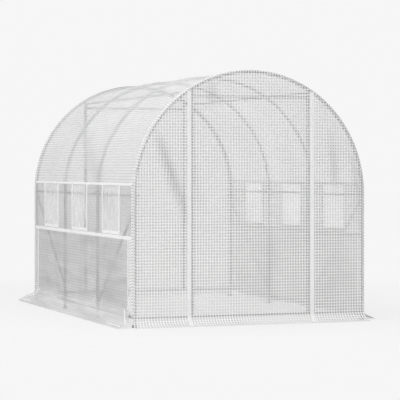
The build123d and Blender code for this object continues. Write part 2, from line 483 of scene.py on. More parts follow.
@dataclass(frozen=True)
class MouldedPlastic(Finish):
    """Moulded plastic with a fine grain from the tool."""

    colour: str = "1B1C1D"
    grain: float = 1.2 * MM
    roughness: float = 0.5

    def shader(self, tree: NodeTree) -> Node:
        """Builds the grain on object coordinates.

        Args:
            tree: Empty node tree of the new material.

        Returns:
            The node that goes to the surface.
        """
        place = add_node(tree, "TexCoord").outputs["Object"]
        speck = add_node(tree, "TexNoise", {"Vector": place, "Scale": 1 / self.grain, "Detail": 2.0})
        bump = add_node(tree, "Bump", {"Strength": 0.25, "Distance": 0.2 * MM, "Height": speck})
        rough = add_node(
            tree, "MapRange",
            {"Value": speck, "To Min": self.roughness - 0.08, "To Max": self.roughness + 0.08},
        )
        return add_node(
            tree, "BsdfPrincipled",
            {"Base Color": linear(self.colour), "Roughness": rough, "IOR": 1.5, "Normal": bump},
        )


GRID_SHEET = GridSheet("Grid_reinforced_polyethylene")
ROOF_SHEET = GridSheet(
    "Roof_grid_polyethylene", thread_cover=0.36, film_cover=0.52, thread_colour="F5F5F5",
    film_colour="D2D2D2", let_through=0.3,
)
BAND_SHEET = GridSheet(
    "Band_grid_polyethylene", thread_cover=0.2, film_cover=0.64, thread_colour="D8D8D8", film_colour="CACACA"
)
# The apron's skirt gets painted light: its colour is made paler below the bend.
APRON_SHEET = GridSheet(
    "Close_woven_polyethylene", thread_cover=0.3, film_cover=0.76, thread_colour="D2D2D2",
    film_colour="C1C1C1", streak=0.1, pale=0.18, painted_light_run=0.9,
)
REAR_SHEET = GridSheet("Rear_grid_polyethylene", thread_cover=0.6, film_cover=0.25, let_through=0.3)
LAPPED_SHEET = GridSheet(
    "Lapped_grid_polyethylene", thread_cover=0.96, film_cover=0.45, film_colour="D8D8D8", let_through=0.2
)
MESH_PANE = MeshPane("White_insect_mesh")
WHITE_TAPE = WovenTape("White_woven_tape")
TUBE_STEEL = GalvanisedSteel("Galvanised_steel_tube")
BOLT_STEEL = GalvanisedSteel(
    "Zinc_plated_bolt", colour="B4B8BA", dark="A2A6A8", spangle=3 * MM, roughness=0.3
)
FOOT_PLASTIC = MouldedPlastic("Black_moulded_plastic")
ZIP_PLASTIC = MouldedPlastic("White_moulded_zip", colour="F4F4F4", roughness=0.4)


def add_object(name: str, data: ID) -> Object:
    """Puts an object of a mesh, a lamp or a camera into the scene.

    Args:
        name: Its name.
        data: The mesh, lamp or camera.

    Returns:
        The new object.
    """
    made = bpy.data.objects.new(name, data)
    bpy.context.scene.collection.objects.link(made)
    return made


def add_piece(name: str, bm: BMesh, finish: Finish, slot: Slot, *nodes: str) -> Object:
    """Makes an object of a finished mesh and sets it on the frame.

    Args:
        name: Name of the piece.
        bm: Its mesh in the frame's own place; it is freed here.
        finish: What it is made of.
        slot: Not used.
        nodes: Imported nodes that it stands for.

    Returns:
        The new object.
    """
    mesh = bpy.data.meshes.new(name)
    bm.to_mesh(mesh)
    bm.free()
    mesh.materials.append(finish.material())
    piece = add_object(name, mesh)
    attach(piece, BODY)
    if nodes:
        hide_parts(*nodes)
    LOG.info("%s: %d faces", name, len(mesh.polygons))
    return piece


def shade(bm: BMesh, limit: float = math.radians(40)) -> None:
    """Smooths all faces and keeps edges sharper than a limit crisp.

    Args:
        bm: Mesh to shade.
        limit: Angle between faces past which an edge stays crisp.
    """
    for face in bm.faces:
        face.smooth = True
    for edge in bm.edges:
        edge.smooth = len(edge.link_faces) == 2 and edge.calc_face_angle(0.0) < limit


def edges_of(verts: Iterable[BMVert]) -> list[BMEdge]:
    """All edges of some vertices, each once."""
    return list({edge for vert in verts for edge in vert.link_edges})


def round_edges(bm: BMesh, edges: Sequence[BMEdge], radius: float, segments: int = 2) -> None:
    """Rounds some edges of a mesh.

    Args:
        bm: The mesh.
        edges: Its edges to round.
        radius: How far the round reaches from an edge.
        segments: How many faces go round.
    """
    bmesh.ops.bevel(
        bm, geom=edges, offset=radius, offset_type="OFFSET", affect="EDGES", segments=segments, profile=0.5,
        material=-1,
    )


def split(bm: BMesh, point: Sequence[float], normal: Sequence[float], trim: bool = False) -> None:
    """Cuts all faces of a mesh along a plane.

    Args:
        bm: The mesh.
        point: A point on the plane.
        normal: Direction across the plane.
        trim: Whether what lies on the normal's side is taken away.
    """
    whole = [*bm.verts, *bm.edges, *bm.faces]
    bmesh.ops.bisect_plane(bm, geom=whole, dist=1e-6, plane_co=point, plane_no=normal, clear_outer=trim)


# Sizes and the lines that the cover hangs on


@dataclass(frozen=True)
class TunnelSizes:
    """Sizes that the pieces share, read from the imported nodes.

    Attributes:
        hoop_radius: Middle of the hoop tube from the middle of the tunnel.
        spring: Height at which the arch starts.
        hoop_tube: Diameter of hoops and posts.
        rail_tube: Diameter of rails and braces.
        hoops: Places of the hoops along the tunnel.
        cover_face: Outer face of the side cover from the middle.
        wall_face: Outer face of the end walls from the middle.
        upper_seam: Height of the seam between roof and window band.
        lower_seam: Height of the seam between window band and apron.
        strip_foot: Height of the lower end of the corner strips.
        rim_foot: Height of the lower end of the lapped rim.
        side_flare: How far the side skirts stand out.
        end_flare: How far the end skirts stand out.
    """

    hoop_radius: float
    spring: float
    hoop_tube: float
    rail_tube: float
    hoops: tuple[float, ...]
    cover_face: float
    wall_face: float
    upper_seam: float
    lower_seam: float
    strip_foot: float
    rim_foot: float
    side_flare: float
    end_flare: float

    @property
    def sheet_reach(self) -> float:
        """End of roof and side sheets along the tunnel, just inside the end walls' outer face."""
        return self.wall_face - 1.5 * MM

    @classmethod
    def read(cls) -> "TunnelSizes":
        """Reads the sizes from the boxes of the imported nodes.

        Returns:
            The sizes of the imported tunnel.
        """
        legs = [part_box(f"{name}_hoop_legs") for name in HOOP_NAMES]
        tube = legs[0][1].y - legs[0][0].y
        rail_low, rail_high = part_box("right_side_purlin")
        cover_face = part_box("right_window_band")[1].x
        strip_low, strip_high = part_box("right_corner_strips")
        wall_face = strip_high.x - strip_low.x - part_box("front_door")[1].y
        return cls(
            hoop_radius=legs[0][1].x - tube / 2,
            spring=legs[0][1].z,
            hoop_tube=tube,
            rail_tube=rail_high.z - rail_low.z,
            hoops=tuple((low.y + high.y) / 2 for low, high in legs),
            cover_face=cover_face,
            wall_face=wall_face,
            upper_seam=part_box("roof_cover")[0].z,
            lower_seam=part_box("right_apron")[1].z,
            strip_foot=strip_low.z,
            rim_foot=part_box("front_rim")[0].z,
            side_flare=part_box("right_apron")[1].x - cover_face,
            end_flare=-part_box("front_door")[0].y - wall_face,
        )


@dataclass(frozen=True)
class HangLine:
    """Line that a wall of the cover follows from its top over the bend to the skirt's edge.

    Attributes:
        face: Distance of the upright wall from the middle of the tunnel.
        top: Height from which the run is measured, downwards.
        flare: How far the skirt's edge stands out from the wall.
        arched: Whether the run above the top goes over the hoops.
        fold: Height at which wall and skirt would meet in a sharp fold.
        bend: Radius of that fold.
        edge: Height of the skirt's edge.
    """

    face: float
    top: float
    flare: float
    arched: bool
    fold: float
    bend: float
    edge: float = 1.2 * MM

    def straight(self) -> "HangLine":
        """The same line without a skirt."""
        return replace(self, flare=self.edge, fold=self.edge, bend=self.edge)

    @property
    def turn(self) -> float:
        """Angle between wall and skirt."""
        return math.atan2(self.flare, self.fold)

    @property
    def bend_start(self) -> float:
        """Run at which the bend starts."""
        return self.top - self.fold - self.bend * math.tan(self.turn / 2)

    @property
    def skirt_start(self) -> float:
        """Run at which the straight skirt starts."""
        return self.bend_start + self.bend * self.turn

    @property
    def length(self) -> float:
        """Run of the skirt's edge."""
        height = self.at(self.skirt_start)[0].y - self.edge
        return self.skirt_start + height / math.cos(self.turn)

    def run_at(self, height: float) -> float:
        """Run of a height on the wall above the bend.

        Args:
            height: Height above the ground.

        Returns:
            The run, negative above the top.
        """
        if self.arched and height > self.top:
            return -self.face * math.asin((height - self.top) / self.face)
        return self.top - height

    def at(self, run: float) -> tuple[Vector, Vector]:
        """Place and outward normal of a run.

        Args:
            run: Distance along the line, from the top down.

        Returns:
            Place and normal, each as distance out and height.
        """
        if run < 0 and self.arched:
            way = Vector((math.cos(run / self.face), -math.sin(run / self.face)))
            return Vector((0, self.top)) + way * self.face, way
        if run <= self.bend_start:
            return Vector((self.face, self.top - run)), Vector((1, 0))
        angle = min((run - self.bend_start) / self.bend, self.turn)
        way = Vector((math.cos(angle), math.sin(angle)))
        centre = Vector((self.face + self.bend, self.top - self.bend_start))
        beyond = max(run - self.bend_start - self.bend * self.turn, 0.0)
        return centre - way * self.bend + Vector((way.y, -way.x)) * beyond, way


@dataclass(frozen=True)
class Fold:
    """Soft fold in a hung sheet.

    Attributes:
        start: One end, as place along and run.
        end: Other end.
        width: Distance from its crest at which it fades.
        depth: How far its crest stands out.
        gather: Share to which the cloth lies double on its crest, which also sets the shade painted there.
    """

    start: tuple[float, float]
    end: tuple[float, float]
    width: float
    depth: float
    gather: float = 1.0

    def share(self, along: float, run: float) -> float:
        """Share of its depth to which the fold lifts the sheet at a place.

        Args:
            along: Place along the wall.
            run: Distance down its line.

        Returns:
            From 0, off the fold, to 1 on the middle of its crest.
        """
        start, span = Vector(self.start), Vector(self.end) - Vector(self.start)
        here = Vector((along, run)) - start
        share = here.dot(span) / span.length_squared
        if not 0 < share < 1:
            return 0.0
        off = (here - span * share).length / self.width
        return math.sin(math.pi * share) * math.exp(-off * off)


@dataclass(frozen=True)
class Wall(ABC):
    """Surface that a cut of cloth hangs on.

    Attributes:
        line: Line of the wall from top to skirt.
        crinkle: Depth of the fine creases of the sheet.
        ripple: Depth of the waves along the skirt.
    """

    line: HangLine
    crinkle: float = 2.5 * MM
    ripple: float = 3 * MM

    @abstractmethod
    def slack(self, along: float, run: float) -> float:
        """How far the hung sheet stands off its line."""

    @abstractmethod
    def stand(self, along: float, out: Vector) -> Vector:
        """Turns a place along the wall and a vector out and up into the frame's axes."""

    def gather(self, along: float, run: float) -> float:
        """Share, from 0 to 1, to which the sheet lies gathered at a place."""
        return 0.0

    def skirt_wave(self, along: float, run: float) -> float:
        """Waves that grow from the bend to the edge of the skirt.

        Args:
            along: Place along the wall.
            run: Distance down its line.

        Returns:
            Distance off the line.
        """
        start = self.line.bend_start
        share = smooth((run - start) / (self.line.length - start))
        wave = noise.noise(Vector((along * 5.5, 3.7, self.line.face)))
        return self.ripple * share * (0.5 + wave)

    def place(self, along: float, run: float, lift: float = 0.0) -> Vector:
        """Place of the outer face of a hung sheet.

        Args:
            along: Place along the wall.
            run: Distance down its line.
            lift: Extra distance off the wall.

        Returns:
            The point in the frame.
        """
        spot, way = self.line.at(run)
        return self.stand(along, spot + way * (lift + self.slack(along, run)))

    def outward(self, along: float, run: float) -> Vector:
        """Direction in which the wall faces at a place."""
        return self.stand(0.0, self.line.at(run)[1])


@dataclass(frozen=True)
class SideWall(Wall):
    """Long wall and its half of the roof, held on the hoops.

    Attributes:
        side: Which side of the tunnel it is.
        hoops: Places of the hoops along it.
        grip: Distance from a hoop within which the sheet lies still.
        sag: How far the sheet hangs in between hoops, over the arch.
    """

    side: Side = Side.RIGHT
    hoops: tuple[float, ...] = ()
    grip: float = 0.22
    sag: float = 7 * MM

    def slack(self, along: float, run: float) -> float:
        """Sag over the arch, creases on the wall and waves in the skirt, all still at the hoops.

        Args:
            along: Place along the wall.
            run: Distance down its line.

        Returns:
            Distance off the line.
        """
        free = smooth(min(abs(along - hoop) for hoop in self.hoops) / self.grip)
        over_arch = smooth(-run / 0.4)
        creases = noise.noise(Vector((along * 4.2, run * 1.6, 5.3 * self.side.value)))
        creases += 0.5 * noise.noise(Vector((along * 9.0, run * 3.1, 2.1 * self.side.value)))
        still = free * (self.crinkle * creases - self.sag * over_arch)
        return still + self.skirt_wave(along, run)

    def stand(self, along: float, out: Vector) -> Vector:
        """Out is along X on this side."""
        return Vector((self.side.value * out.x, along, out.y))


@dataclass(frozen=True)
class RoofWall(Wall):
    """Both halves of the roof as one sheet, with its run measured from the crown.

    Attributes:
        halves: The wall of each side, left first.
    """

    halves: tuple[SideWall, ...] = ()

    def half(self, run: float) -> tuple[SideWall, float]:
        """Side wall of a run from the crown, and the run on it."""
        quarter = self.line.face * math.pi / 2
        return self.halves[1 if run > 0 else 0], abs(run) - quarter

    def slack(self, along: float, run: float) -> float:
        """Slack of the half that the run is on."""
        wall, below = self.half(run)
        return wall.slack(along, below)

    def stand(self, along: float, out: Vector) -> Vector:
        """Out is along X."""
        return Vector((out.x, along, out.y))

    def place(self, along: float, run: float, lift: float = 0.0) -> Vector:
        """Place on the half that the run is on."""
        wall, below = self.half(run)
        return wall.place(along, below, lift)

    def outward(self, along: float, run: float) -> Vector:
        """Direction of the half that the run is on."""
        wall, below = self.half(run)
        return wall.outward(along, below)


@dataclass(frozen=True)
class RimWall(RoofWall):
    """Edge of the roof and sides, which turns in a tight round onto an end wall.

    Attributes:
        edge: Face of the end wall from the middle.
        round: Radius of the turn.
    """

    edge: float = 0.0
    round: float = 7 * MM

    def place(self, along: float, run: float, lift: float = 0.0) -> Vector:
        """Place on the roof, or past the turn on the end wall.

        Args:
            along: Place along the wall.
            run: Distance down its line.
            lift: Extra distance off the wall.

        Returns:
            The point in the frame.
        """
        past = abs(along) - (self.edge - self.round)
        if past <= 0:
            return super().place(along, run, lift)
        angle = min(past / self.round, math.pi / 2)
        out = (self.round + lift) * math.cos(angle) - self.round - max(past - self.round * math.pi / 2, 0.0)
        ahead = self.edge - self.round + (self.round + lift) * math.sin(angle)
        return super().place(math.copysign(ahead, along), run, out)


@dataclass(frozen=True)
class EndWall(Wall):
    """Flat end wall in the arch, held along its rim and its zips.

    Attributes:
        end: Which end of the tunnel it is.
        rim: Radius at which the wall is held by the roof.
        held: Places across the wall at which it lies still.
        grip: Distance from the rim or a zip within which the wall lies still.
        folds: Soft folds of the wall.
        spread: How much wider the skirt is at its edge, on each side.
        spread_from: Distance from the middle past which it widens.
    """

    end: End = End.FRONT
    rim: float = 1.0
    held: tuple[float, ...] = ()
    grip: float = 0.07
    folds: tuple[Fold, ...] = ()
    spread: float = 20 * MM
    spread_from: float = 0.75

    def slack(self, along: float, run: float) -> float:
        """Folds and creases that stand outwards, clear of the posts behind.

        Args:
            along: Place along the wall.
            run: Distance down its line.

        Returns:
            Distance off the line.
        """
        inset = self.rim - (math.hypot(along, run) if run < 0 else abs(along))
        still = smooth(inset / self.grip)
        for place in self.held:
            still *= smooth(abs(along - place) / self.grip)
        creases = 0.5 + 0.5 * noise.noise(Vector((along * 4.6, run * 2.0, 7.7 * self.end.value)))
        folds = sum(fold.depth * fold.share(along, run) for fold in self.folds)
        return still * (self.crinkle * creases + folds) + self.skirt_wave(along, run)

    def gather(self, along: float, run: float) -> float:
        """Gathered most on the crests of the folds, where the sheet's colour also gets painted shade."""
        return max((fold.gather * fold.share(along, run) for fold in self.folds), default=0.0)

    def place(self, along: float, run: float, lift: float = 0.0) -> Vector:
        """Place on the wall, with the skirt spread at its corners.

        Args:
            along: Place along the wall.
            run: Distance down its line.
            lift: Extra distance off the wall.

        Returns:
            The point in the frame.
        """
        start = self.line.bend_start
        share = smooth((run - start) / (self.line.length - start))
        share *= smooth((abs(along) - self.spread_from) / (self.rim - self.spread_from))
        return super().place(along + math.copysign(self.spread * share, along), run, lift)

    def stand(self, along: float, out: Vector) -> Vector:
        """Out is along Y at this end."""
        return Vector((along, self.end.value * out.x, out.y))


# Bench work on cloth


class Cloth:
    """Flat cut of cloth, with its place along the wall as X and its run down the wall as Y.

    Attributes:
        bm: The mesh of the cut.
    """

    def __init__(self, low: tuple[float, float], high: tuple[float, float], step: float) -> None:
        """Lays out a rectangle.

        Args:
            low: Least place along and least run.
            high: Greatest place along and greatest run.
            step: About the size of a face.
        """
        span = Vector(high) - Vector(low)
        middle = (Vector(high) + Vector(low)) / 2
        spread = Matrix.Translation(middle.to_3d()) @ Matrix.Diagonal((span.x, span.y, 1, 1))
        self.bm = bmesh.new()
        bmesh.ops.create_grid(
            self.bm, x_segments=max(round(span.x / step), 1), y_segments=max(round(span.y / step), 1),
            size=0.5, matrix=spread,
        )

    def score(self, point: tuple[float, float], normal: tuple[float, float], trim: bool = False) -> None:
        """Cuts all faces along a line.

        Args:
            point: A point on the line.
            normal: Direction across the line.
            trim: Whether what lies on the normal's side is taken away.
        """
        split(self.bm, (*point, 0), (*normal, 0), trim)

    def trim_round(
        self, centre: tuple[float, float], radius: float, start: float, end: float, steps: int
    ) -> None:
        """Trims the cut to a round edge by cuts along its tangents.

        Args:
            centre: Middle of the round edge.
            radius: Its radius.
            start: Angle of the first tangent point.
            end: Angle of the last one.
            steps: How many cuts.
        """
        for i in range(steps):
            angle = start + (end - start) * (i + 0.5) / steps
            way = (math.cos(angle), math.sin(angle))
            self.score((centre[0] + radius * way[0], centre[1] + radius * way[1]), way, trim=True)

    def cut_out(self, low: tuple[float, float], high: tuple[float, float]) -> None:
        """Takes a rectangle out of the cut.

        Args:
            low: Least place along and least run.
            high: Greatest place along and greatest run.
        """
        for corner in (low, high):
            self.score(corner, (1, 0))
            self.score(corner, (0, 1))
        middles = [(face, face.calc_center_median()) for face in self.bm.faces]
        gone = [f for f, m in middles if low[0] < m.x < high[0] and low[1] < m.y < high[1]]
        bmesh.ops.delete(self.bm, geom=gone, context="FACES")

    def area(self) -> float:
        """Area of the cut before it is hung."""
        return sum(face.calc_area() for face in self.bm.faces)

    def hang(
        self,
        wall: Wall,
        thickness: float,
        lift: float = 0.0,
        wave: Optional[Lift] = None,
        dense: Optional[Lift] = None,
        trims: Sequence[tuple[Vector, Vector]] = (),
        hollow: Sequence[tuple[Vector, Vector]] = (),
    ) -> BMesh:
        """Hangs the cut on a wall and gives it its thickness.

        Args:
            wall: Surface that it hangs on.
            thickness: Thickness of the cloth.
            lift: Distance of its outer face off the wall.
            wave: Extra lift by place along and run.
            dense: Share to which the cloth lies gathered, if the wall doesn't give it.
            trims: Point and outward normal of each plane that trims the hung cut.
            hollow: Planes whose common inside is taken out of it.

        Returns:
            The finished mesh.
        """
        bm = self.bm
        cloth_map = bm.loops.layers.uv.new(CLOTH_MAP)
        gather = bm.verts.layers.float.new(GATHER)
        for face in bm.faces:
            for loop in face.loops:
                loop[cloth_map].uv = loop.vert.co.xy
        first = next(iter(bm.faces)).calc_center_median()
        out = wall.outward(first.x, first.y)
        for vert in bm.verts:
            along, run = vert.co.x, vert.co.y
            extra = wave(along, run) if wave else 0.0
            vert[gather] = (dense or wall.gather)(along, run)
            vert.co = wall.place(along, run, lift + extra)
        bm.normal_update()
        if next(iter(bm.faces)).normal.dot(out) < 0:
            bmesh.ops.reverse_faces(bm, faces=bm.faces)
        for point, normal in trims:
            split(bm, point, normal, trim=True)
        for point, normal in hollow:
            split(bm, point, normal)
        if hollow:
            middles = [(face, face.calc_center_median()) for face in bm.faces]
            gone = [f for f, m in middles if all((m - point).dot(normal) < 0 for point, normal in hollow)]
            bmesh.ops.delete(bm, geom=gone, context="FACES")
        bmesh.ops.solidify(bm, geom=bm.faces, thickness=thickness)
        bm.normal_update()
        shade(bm)
        return bm


@dataclass(frozen=True)
class SheetCloth:
    """Thicknesses and mesh sizes of the cloths.

    Attributes:
        sheet: Thickness of the cover.
        tape: Thickness of sewn tape.
        tape_lift: Distance of the outer face of a tape off the sheet.
        pane: Thickness of a window's mesh.
        pane_lift: Distance of its outer face off the sheet, under the tapes.
        step: Face size of a sheet.
        tip_step: Face size of the seam around a tip.
        zip_step: Face size of a zip tape.
        pane_step: Face size of a window pane.
        rim_step: Face size of a lapped rim.
    """

    sheet: float = 1.0 * MM
    tape: float = 1.2 * MM
    tape_lift: float = 1.6 * MM
    pane: float = 0.5 * MM
    pane_lift: float = -1.2 * MM
    step: float = 25 * MM
    tip_step: float = 12 * MM
    zip_step: float = 11 * MM
    pane_step: float = 7 * MM
    rim_step: float = 6 * MM


CLOTH = SheetCloth()


# Frame


class Tubing:
    """Round tube, straight, bent to an arch or flattened at its ends."""

    SIDES = 24
    ARCH_STEPS = 60
    END_BEVEL = 1.2 * MM

    @classmethod
    def ring(cls, bm: BMesh, radius: float, place: Matrix) -> list[BMEdge]:
        """Adds the outline of a tube.

        Args:
            bm: Mesh that it goes to.
            radius: Radius of the tube.
            place: Where the outline stands, with its axis along Z.

        Returns:
            The edges of the outline.
        """
        made = bmesh.ops.create_circle(bm, segments=cls.SIDES, radius=radius, matrix=place)
        return edges_of(made["verts"])

    @classmethod
    def close(cls, bm: BMesh) -> None:
        """Closes the open ends of all tubes in a mesh and rounds their rims.

        Args:
            bm: Mesh with all its tubes.
        """
        rims = [edge for edge in bm.edges if edge.is_boundary]
        bmesh.ops.holes_fill(bm, edges=rims, sides=0)
        bmesh.ops.recalc_face_normals(bm, faces=bm.faces)
        round_edges(bm, rims, cls.END_BEVEL)
        shade(bm)

    @classmethod
    def straight(cls, bm: BMesh, start: Vector, end: Vector, diameter: float) -> None:
        """Adds a straight tube with open ends.

        Args:
            bm: Mesh that it goes to.
            start: Middle of one end.
            end: Middle of the other end.
            diameter: Diameter of the tube.
        """
        run = end - start
        place = Matrix.Translation(start) @ run.to_track_quat("Z", "Y").to_matrix().to_4x4()
        edges = cls.ring(bm, diameter / 2, place)
        made = bmesh.ops.extrude_edge_only(bm, edges=edges)
        moved = [item for item in made["geom"] if isinstance(item, BMVert)]
        bmesh.ops.translate(bm, verts=moved, vec=run)

    @classmethod
    def arch(cls, bm: BMesh, centre: Vector, radius: float, span: Sequence[float], diameter: float) -> None:
        """Adds a bent tube with open ends, in a plane across the tunnel.

        Args:
            bm: Mesh that it goes to.
            centre: Middle of the bend.
            radius: Radius of the bend.
            span: Angles of its ends, from +X up.
            diameter: Diameter of the tube.
        """
        turn = Matrix.Rotation(-span[0], 4, "Y")
        place = Matrix.Translation(centre) @ turn @ Matrix.Translation((radius, 0, 0))
        edges = cls.ring(bm, diameter / 2, place)
        verts = list({vert for edge in edges for vert in edge.verts})
        bmesh.ops.spin(
            bm, geom=[*verts, *edges], cent=centre, axis=(0, -1, 0), angle=span[1] - span[0],
            steps=max(round(cls.ARCH_STEPS * (span[1] - span[0]) / math.pi), 8), use_merge=False,
        )

    @classmethod
    def flattened(cls, bm: BMesh, start: Vector, end: Vector, diameter: float, lug: Sequence[float]) -> None:
        """Adds a tube whose ends are pressed flat across X, for a bolt.

        Args:
            bm: Mesh that it goes to.
            start: Bolt at one end.
            end: Bolt at the other end.
            diameter: Diameter of the tube.
            lug: Length, width and thickness of a flat end.
        """
        length, width, thickness = lug
        run = end - start
        way = run.normalized()
        across = Vector((1, 0, 0))
        turn = Matrix((across, way.cross(across), way)).transposed().to_4x4()
        place = Matrix.Translation(start) @ turn
        flat = (thickness / diameter, width / diameter)
        stations = [(-width / 2, flat[0], flat[1] * 0.6), (-width / 4, *flat), (length * 0.55, *flat)]
        stations += [(length, 1.0, 1.0), (run.length - length, 1.0, 1.0)]
        stations += [(run.length - z, x, y) for z, x, y in reversed(stations[:3])]
        edges = cls.ring(bm, diameter / 2, Matrix.Identity(4))
        verts = list({vert for edge in edges for vert in edge.verts})
        here = (0.0, 1.0, 1.0)
        for i, station in enumerate(stations):
            if i:
                made = bmesh.ops.extrude_edge_only(bm, edges=edges)
                verts = [item for item in made["geom"] if isinstance(item, BMVert)]
                edges = [item for item in made["geom"] if isinstance(item, BMEdge)]
                edges = [edge for edge in edges if edge.is_boundary]
            bmesh.ops.scale(bm, verts=verts, vec=(station[1] / here[1], station[2] / here[2], 1))
            bmesh.ops.translate(bm, verts=verts, vec=(0, 0, station[0] - here[0]))
            here = station
        fresh = [vert for vert in bm.verts if not vert.tag]
        bmesh.ops.transform(bm, matrix=place, verts=fresh)
        for vert in fresh:
            vert.tag = True


@dataclass
class HoopFrame:
    """Hoops, rails, posts and braces of the frame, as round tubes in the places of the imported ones.

    Attributes:
        sizes: Sizes of the tunnel.
        joint_gap: Gap between the tubes of an arch.
        lug: Length, width and thickness of the flat ends of a brace.
        brace_top_drop: Upper bolt of a brace below the side purlin.
        brace_foot: Height of its lower bolt.
    """

    sizes: TunnelSizes
    joint_gap: float = 0.6 * MM
    lug: tuple[float, float, float] = (40 * MM, 22 * MM, 4 * MM)
    brace_top_drop: float = 50 * MM
    brace_foot: float = 142 * MM

    def build(self) -> None:
        """Builds all tubes of the frame."""
        for name, place in zip(HOOP_NAMES, self.sizes.hoops):
            self.add_arch(f"{name}_hoop_arch", place)
            self.add_uprights(f"{name}_hoop_legs", self.sizes.hoop_tube)
        for end in End:
            self.add_uprights(f"{end.label}_door_posts", self.sizes.hoop_tube)
            for part in ("door_header", "base_rail"):
                self.add_rail(f"{end.label}_{part}", 0)
        for side in Side:
            for part in ("side_purlin", "shoulder_purlin", "base_rail"):
                self.add_rail(f"{side.label}_{part}", 1)
            self.add_braces(side)

    def finish(self, node: str, bm: BMesh) -> None:
        """Closes the tubes of a piece and sets it in the place of its node."""
        Tubing.close(bm)
        add_piece(f"{node}_tube", bm, TUBE_STEEL, Slot.TUBE, node)

    def add_arch(self, node: str, place: float) -> None:
        """Builds the three tubes of one arch, which meet at the shoulder purlins.

        Args:
            node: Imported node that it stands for.
            place: Place of the hoop along the tunnel.
        """
        low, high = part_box("right_shoulder_purlin")
        shoulder = math.atan2((low.z + high.z) / 2 - self.sizes.spring, (low.x + high.x) / 2)
        half = self.joint_gap / 2 / self.sizes.hoop_radius
        spans = (
            (0.0, shoulder - half),
            (shoulder + half, math.pi - shoulder - half),
            (math.pi - shoulder + half, math.pi),
        )
        bm = bmesh.new()
        for span in spans:
            centre = Vector((0, place, self.sizes.spring))
            Tubing.arch(bm, centre, self.sizes.hoop_radius, span, self.sizes.hoop_tube)
        self.finish(node, bm)

    def add_uprights(self, node: str, diameter: float) -> None:
        """Builds the two upright tubes of a node.

        Args:
            node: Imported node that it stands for.
            diameter: Diameter of the tubes.
        """
        low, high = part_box(node)
        bm = bmesh.new()
        for x in (low.x + diameter / 2, high.x - diameter / 2):
            y = (low.y + high.y) / 2
            Tubing.straight(bm, Vector((x, y, low.z)), Vector((x, y, high.z)), diameter)
        self.finish(node, bm)

    def add_rail(self, node: str, axis: int) -> None:
        """Builds the level tube of a node along one axis.

        Args:
            node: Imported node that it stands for.
            axis: Axis that it lies along, 0 for X and 1 for Y.
        """
        low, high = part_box(node)
        start, end = (low + high) / 2, (low + high) / 2
        start[axis], end[axis] = low[axis], high[axis]
        bm = bmesh.new()
        Tubing.straight(bm, start, end, self.sizes.rail_tube)
        self.finish(node, bm)

    def brace_bolts(self, side: Side) -> list[tuple[Vector, Vector]]:
        """Upper and lower bolt of each brace on a side.

        Args:
            side: Side of the tunnel.

        Returns:
            Both bolts of the front and the rear brace.
        """
        low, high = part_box(f"{side.label}_side_purlin")
        top = (low.z + high.z) / 2 - self.brace_top_drop
        inner_face = self.sizes.hoop_radius - self.sizes.hoop_tube / 2
        x = side.value * (inner_face - SEAM_GAP - self.lug[2] / 2)
        hoops = self.sizes.hoops
        pairs = ((hoops[0], hoops[1]), (hoops[-1], hoops[-2]))
        return [(Vector((x, a, top)), Vector((x, b, self.brace_foot))) for a, b in pairs]

    def add_braces(self, side: Side) -> None:
        """Builds the braces of one side.

        Args:
            side: Side of the tunnel.
        """
        bm = bmesh.new()
        for top, foot in self.brace_bolts(side):
            Tubing.flattened(bm, top, foot, self.sizes.rail_tube, self.lug)
        self.finish(f"{side.label}_braces", bm)


@dataclass
class JointBolts:
    """Bolts that hold rails and braces to the hoops.

    Attributes:
        sizes: Sizes of the tunnel.
        frame: Frame whose braces are bolted.
        head: Across the corners of a bolt head.
        head_height: Height of a bolt head.
        washer: Diameter of a washer.
        washer_height: Thickness of a washer.
        chamfer: Chamfer of their edges.
    """

    sizes: TunnelSizes
    frame: HoopFrame
    head: float = 13 * MM
    head_height: float = 5.5 * MM
    washer: float = 17 * MM
    washer_height: float = 1.4 * MM
    chamfer: float = 0.5 * MM

    def add_bolt(self, bm: BMesh, seat: Vector, way: Vector) -> None:
        """Adds a washer and a six sided head.

        Args:
            bm: Mesh that they go to.
            seat: Point on the tube that the washer lies on.
            way: Direction out of the tube.
        """
        turn = way.to_track_quat("Z", "Y").to_matrix().to_4x4()
        for sides, across, low, height in (
            (16, self.washer, 0.0, self.washer_height),
            (6, self.head, self.washer_height, self.head_height),
        ):
            place = Matrix.Translation(seat + way * (low + height / 2)) @ turn
            made = bmesh.ops.create_cone(
                bm, cap_ends=True, segments=sides, radius1=across / 2, radius2=across / 2, depth=height,
                matrix=place,
            )
            round_edges(bm, edges_of(made["verts"]), self.chamfer, segments=1)

    def build(self) -> None:
        """Builds the bolts of each side as one piece."""
        reach = self.sizes.rail_tube / 2
        for side in Side:
            bm = bmesh.new()
            for part in ("side_purlin", "shoulder_purlin", "base_rail"):
                low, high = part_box(f"{side.label}_{part}")
                middle = (low + high) / 2
                level = part != "shoulder_purlin"
                inward = Vector((-middle.x, 0, 0 if level else self.sizes.spring - middle.z)).normalized()
                for y in self.sizes.hoops[1:-1] if part == "base_rail" else self.sizes.hoops:
                    self.add_bolt(bm, Vector((middle.x, y, middle.z)) + inward * reach, inward)
            for pair in self.frame.brace_bolts(side):
                for bolt in pair:
                    inward = Vector((-side.value, 0, 0))
                    self.add_bolt(bm, bolt + inward * self.frame.lug[2] / 2, inward)
            shade(bm)
            add_piece(f"{side.label}_joint_bolts", bm, BOLT_STEEL, Slot.TUBE)


class MouldedFeet:
    """Feet under the legs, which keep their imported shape."""

    def build(self) -> None:
        """Gives the feet their finish."""
        for side in Side:
            foot = frame["nodes"][f"{side.label}_feet"]
            foot.data.materials.clear()
            foot.data.materials.append(FOOT_PLASTIC.material())
            LOG.info("%s: packed shape", foot.name)


# Cover


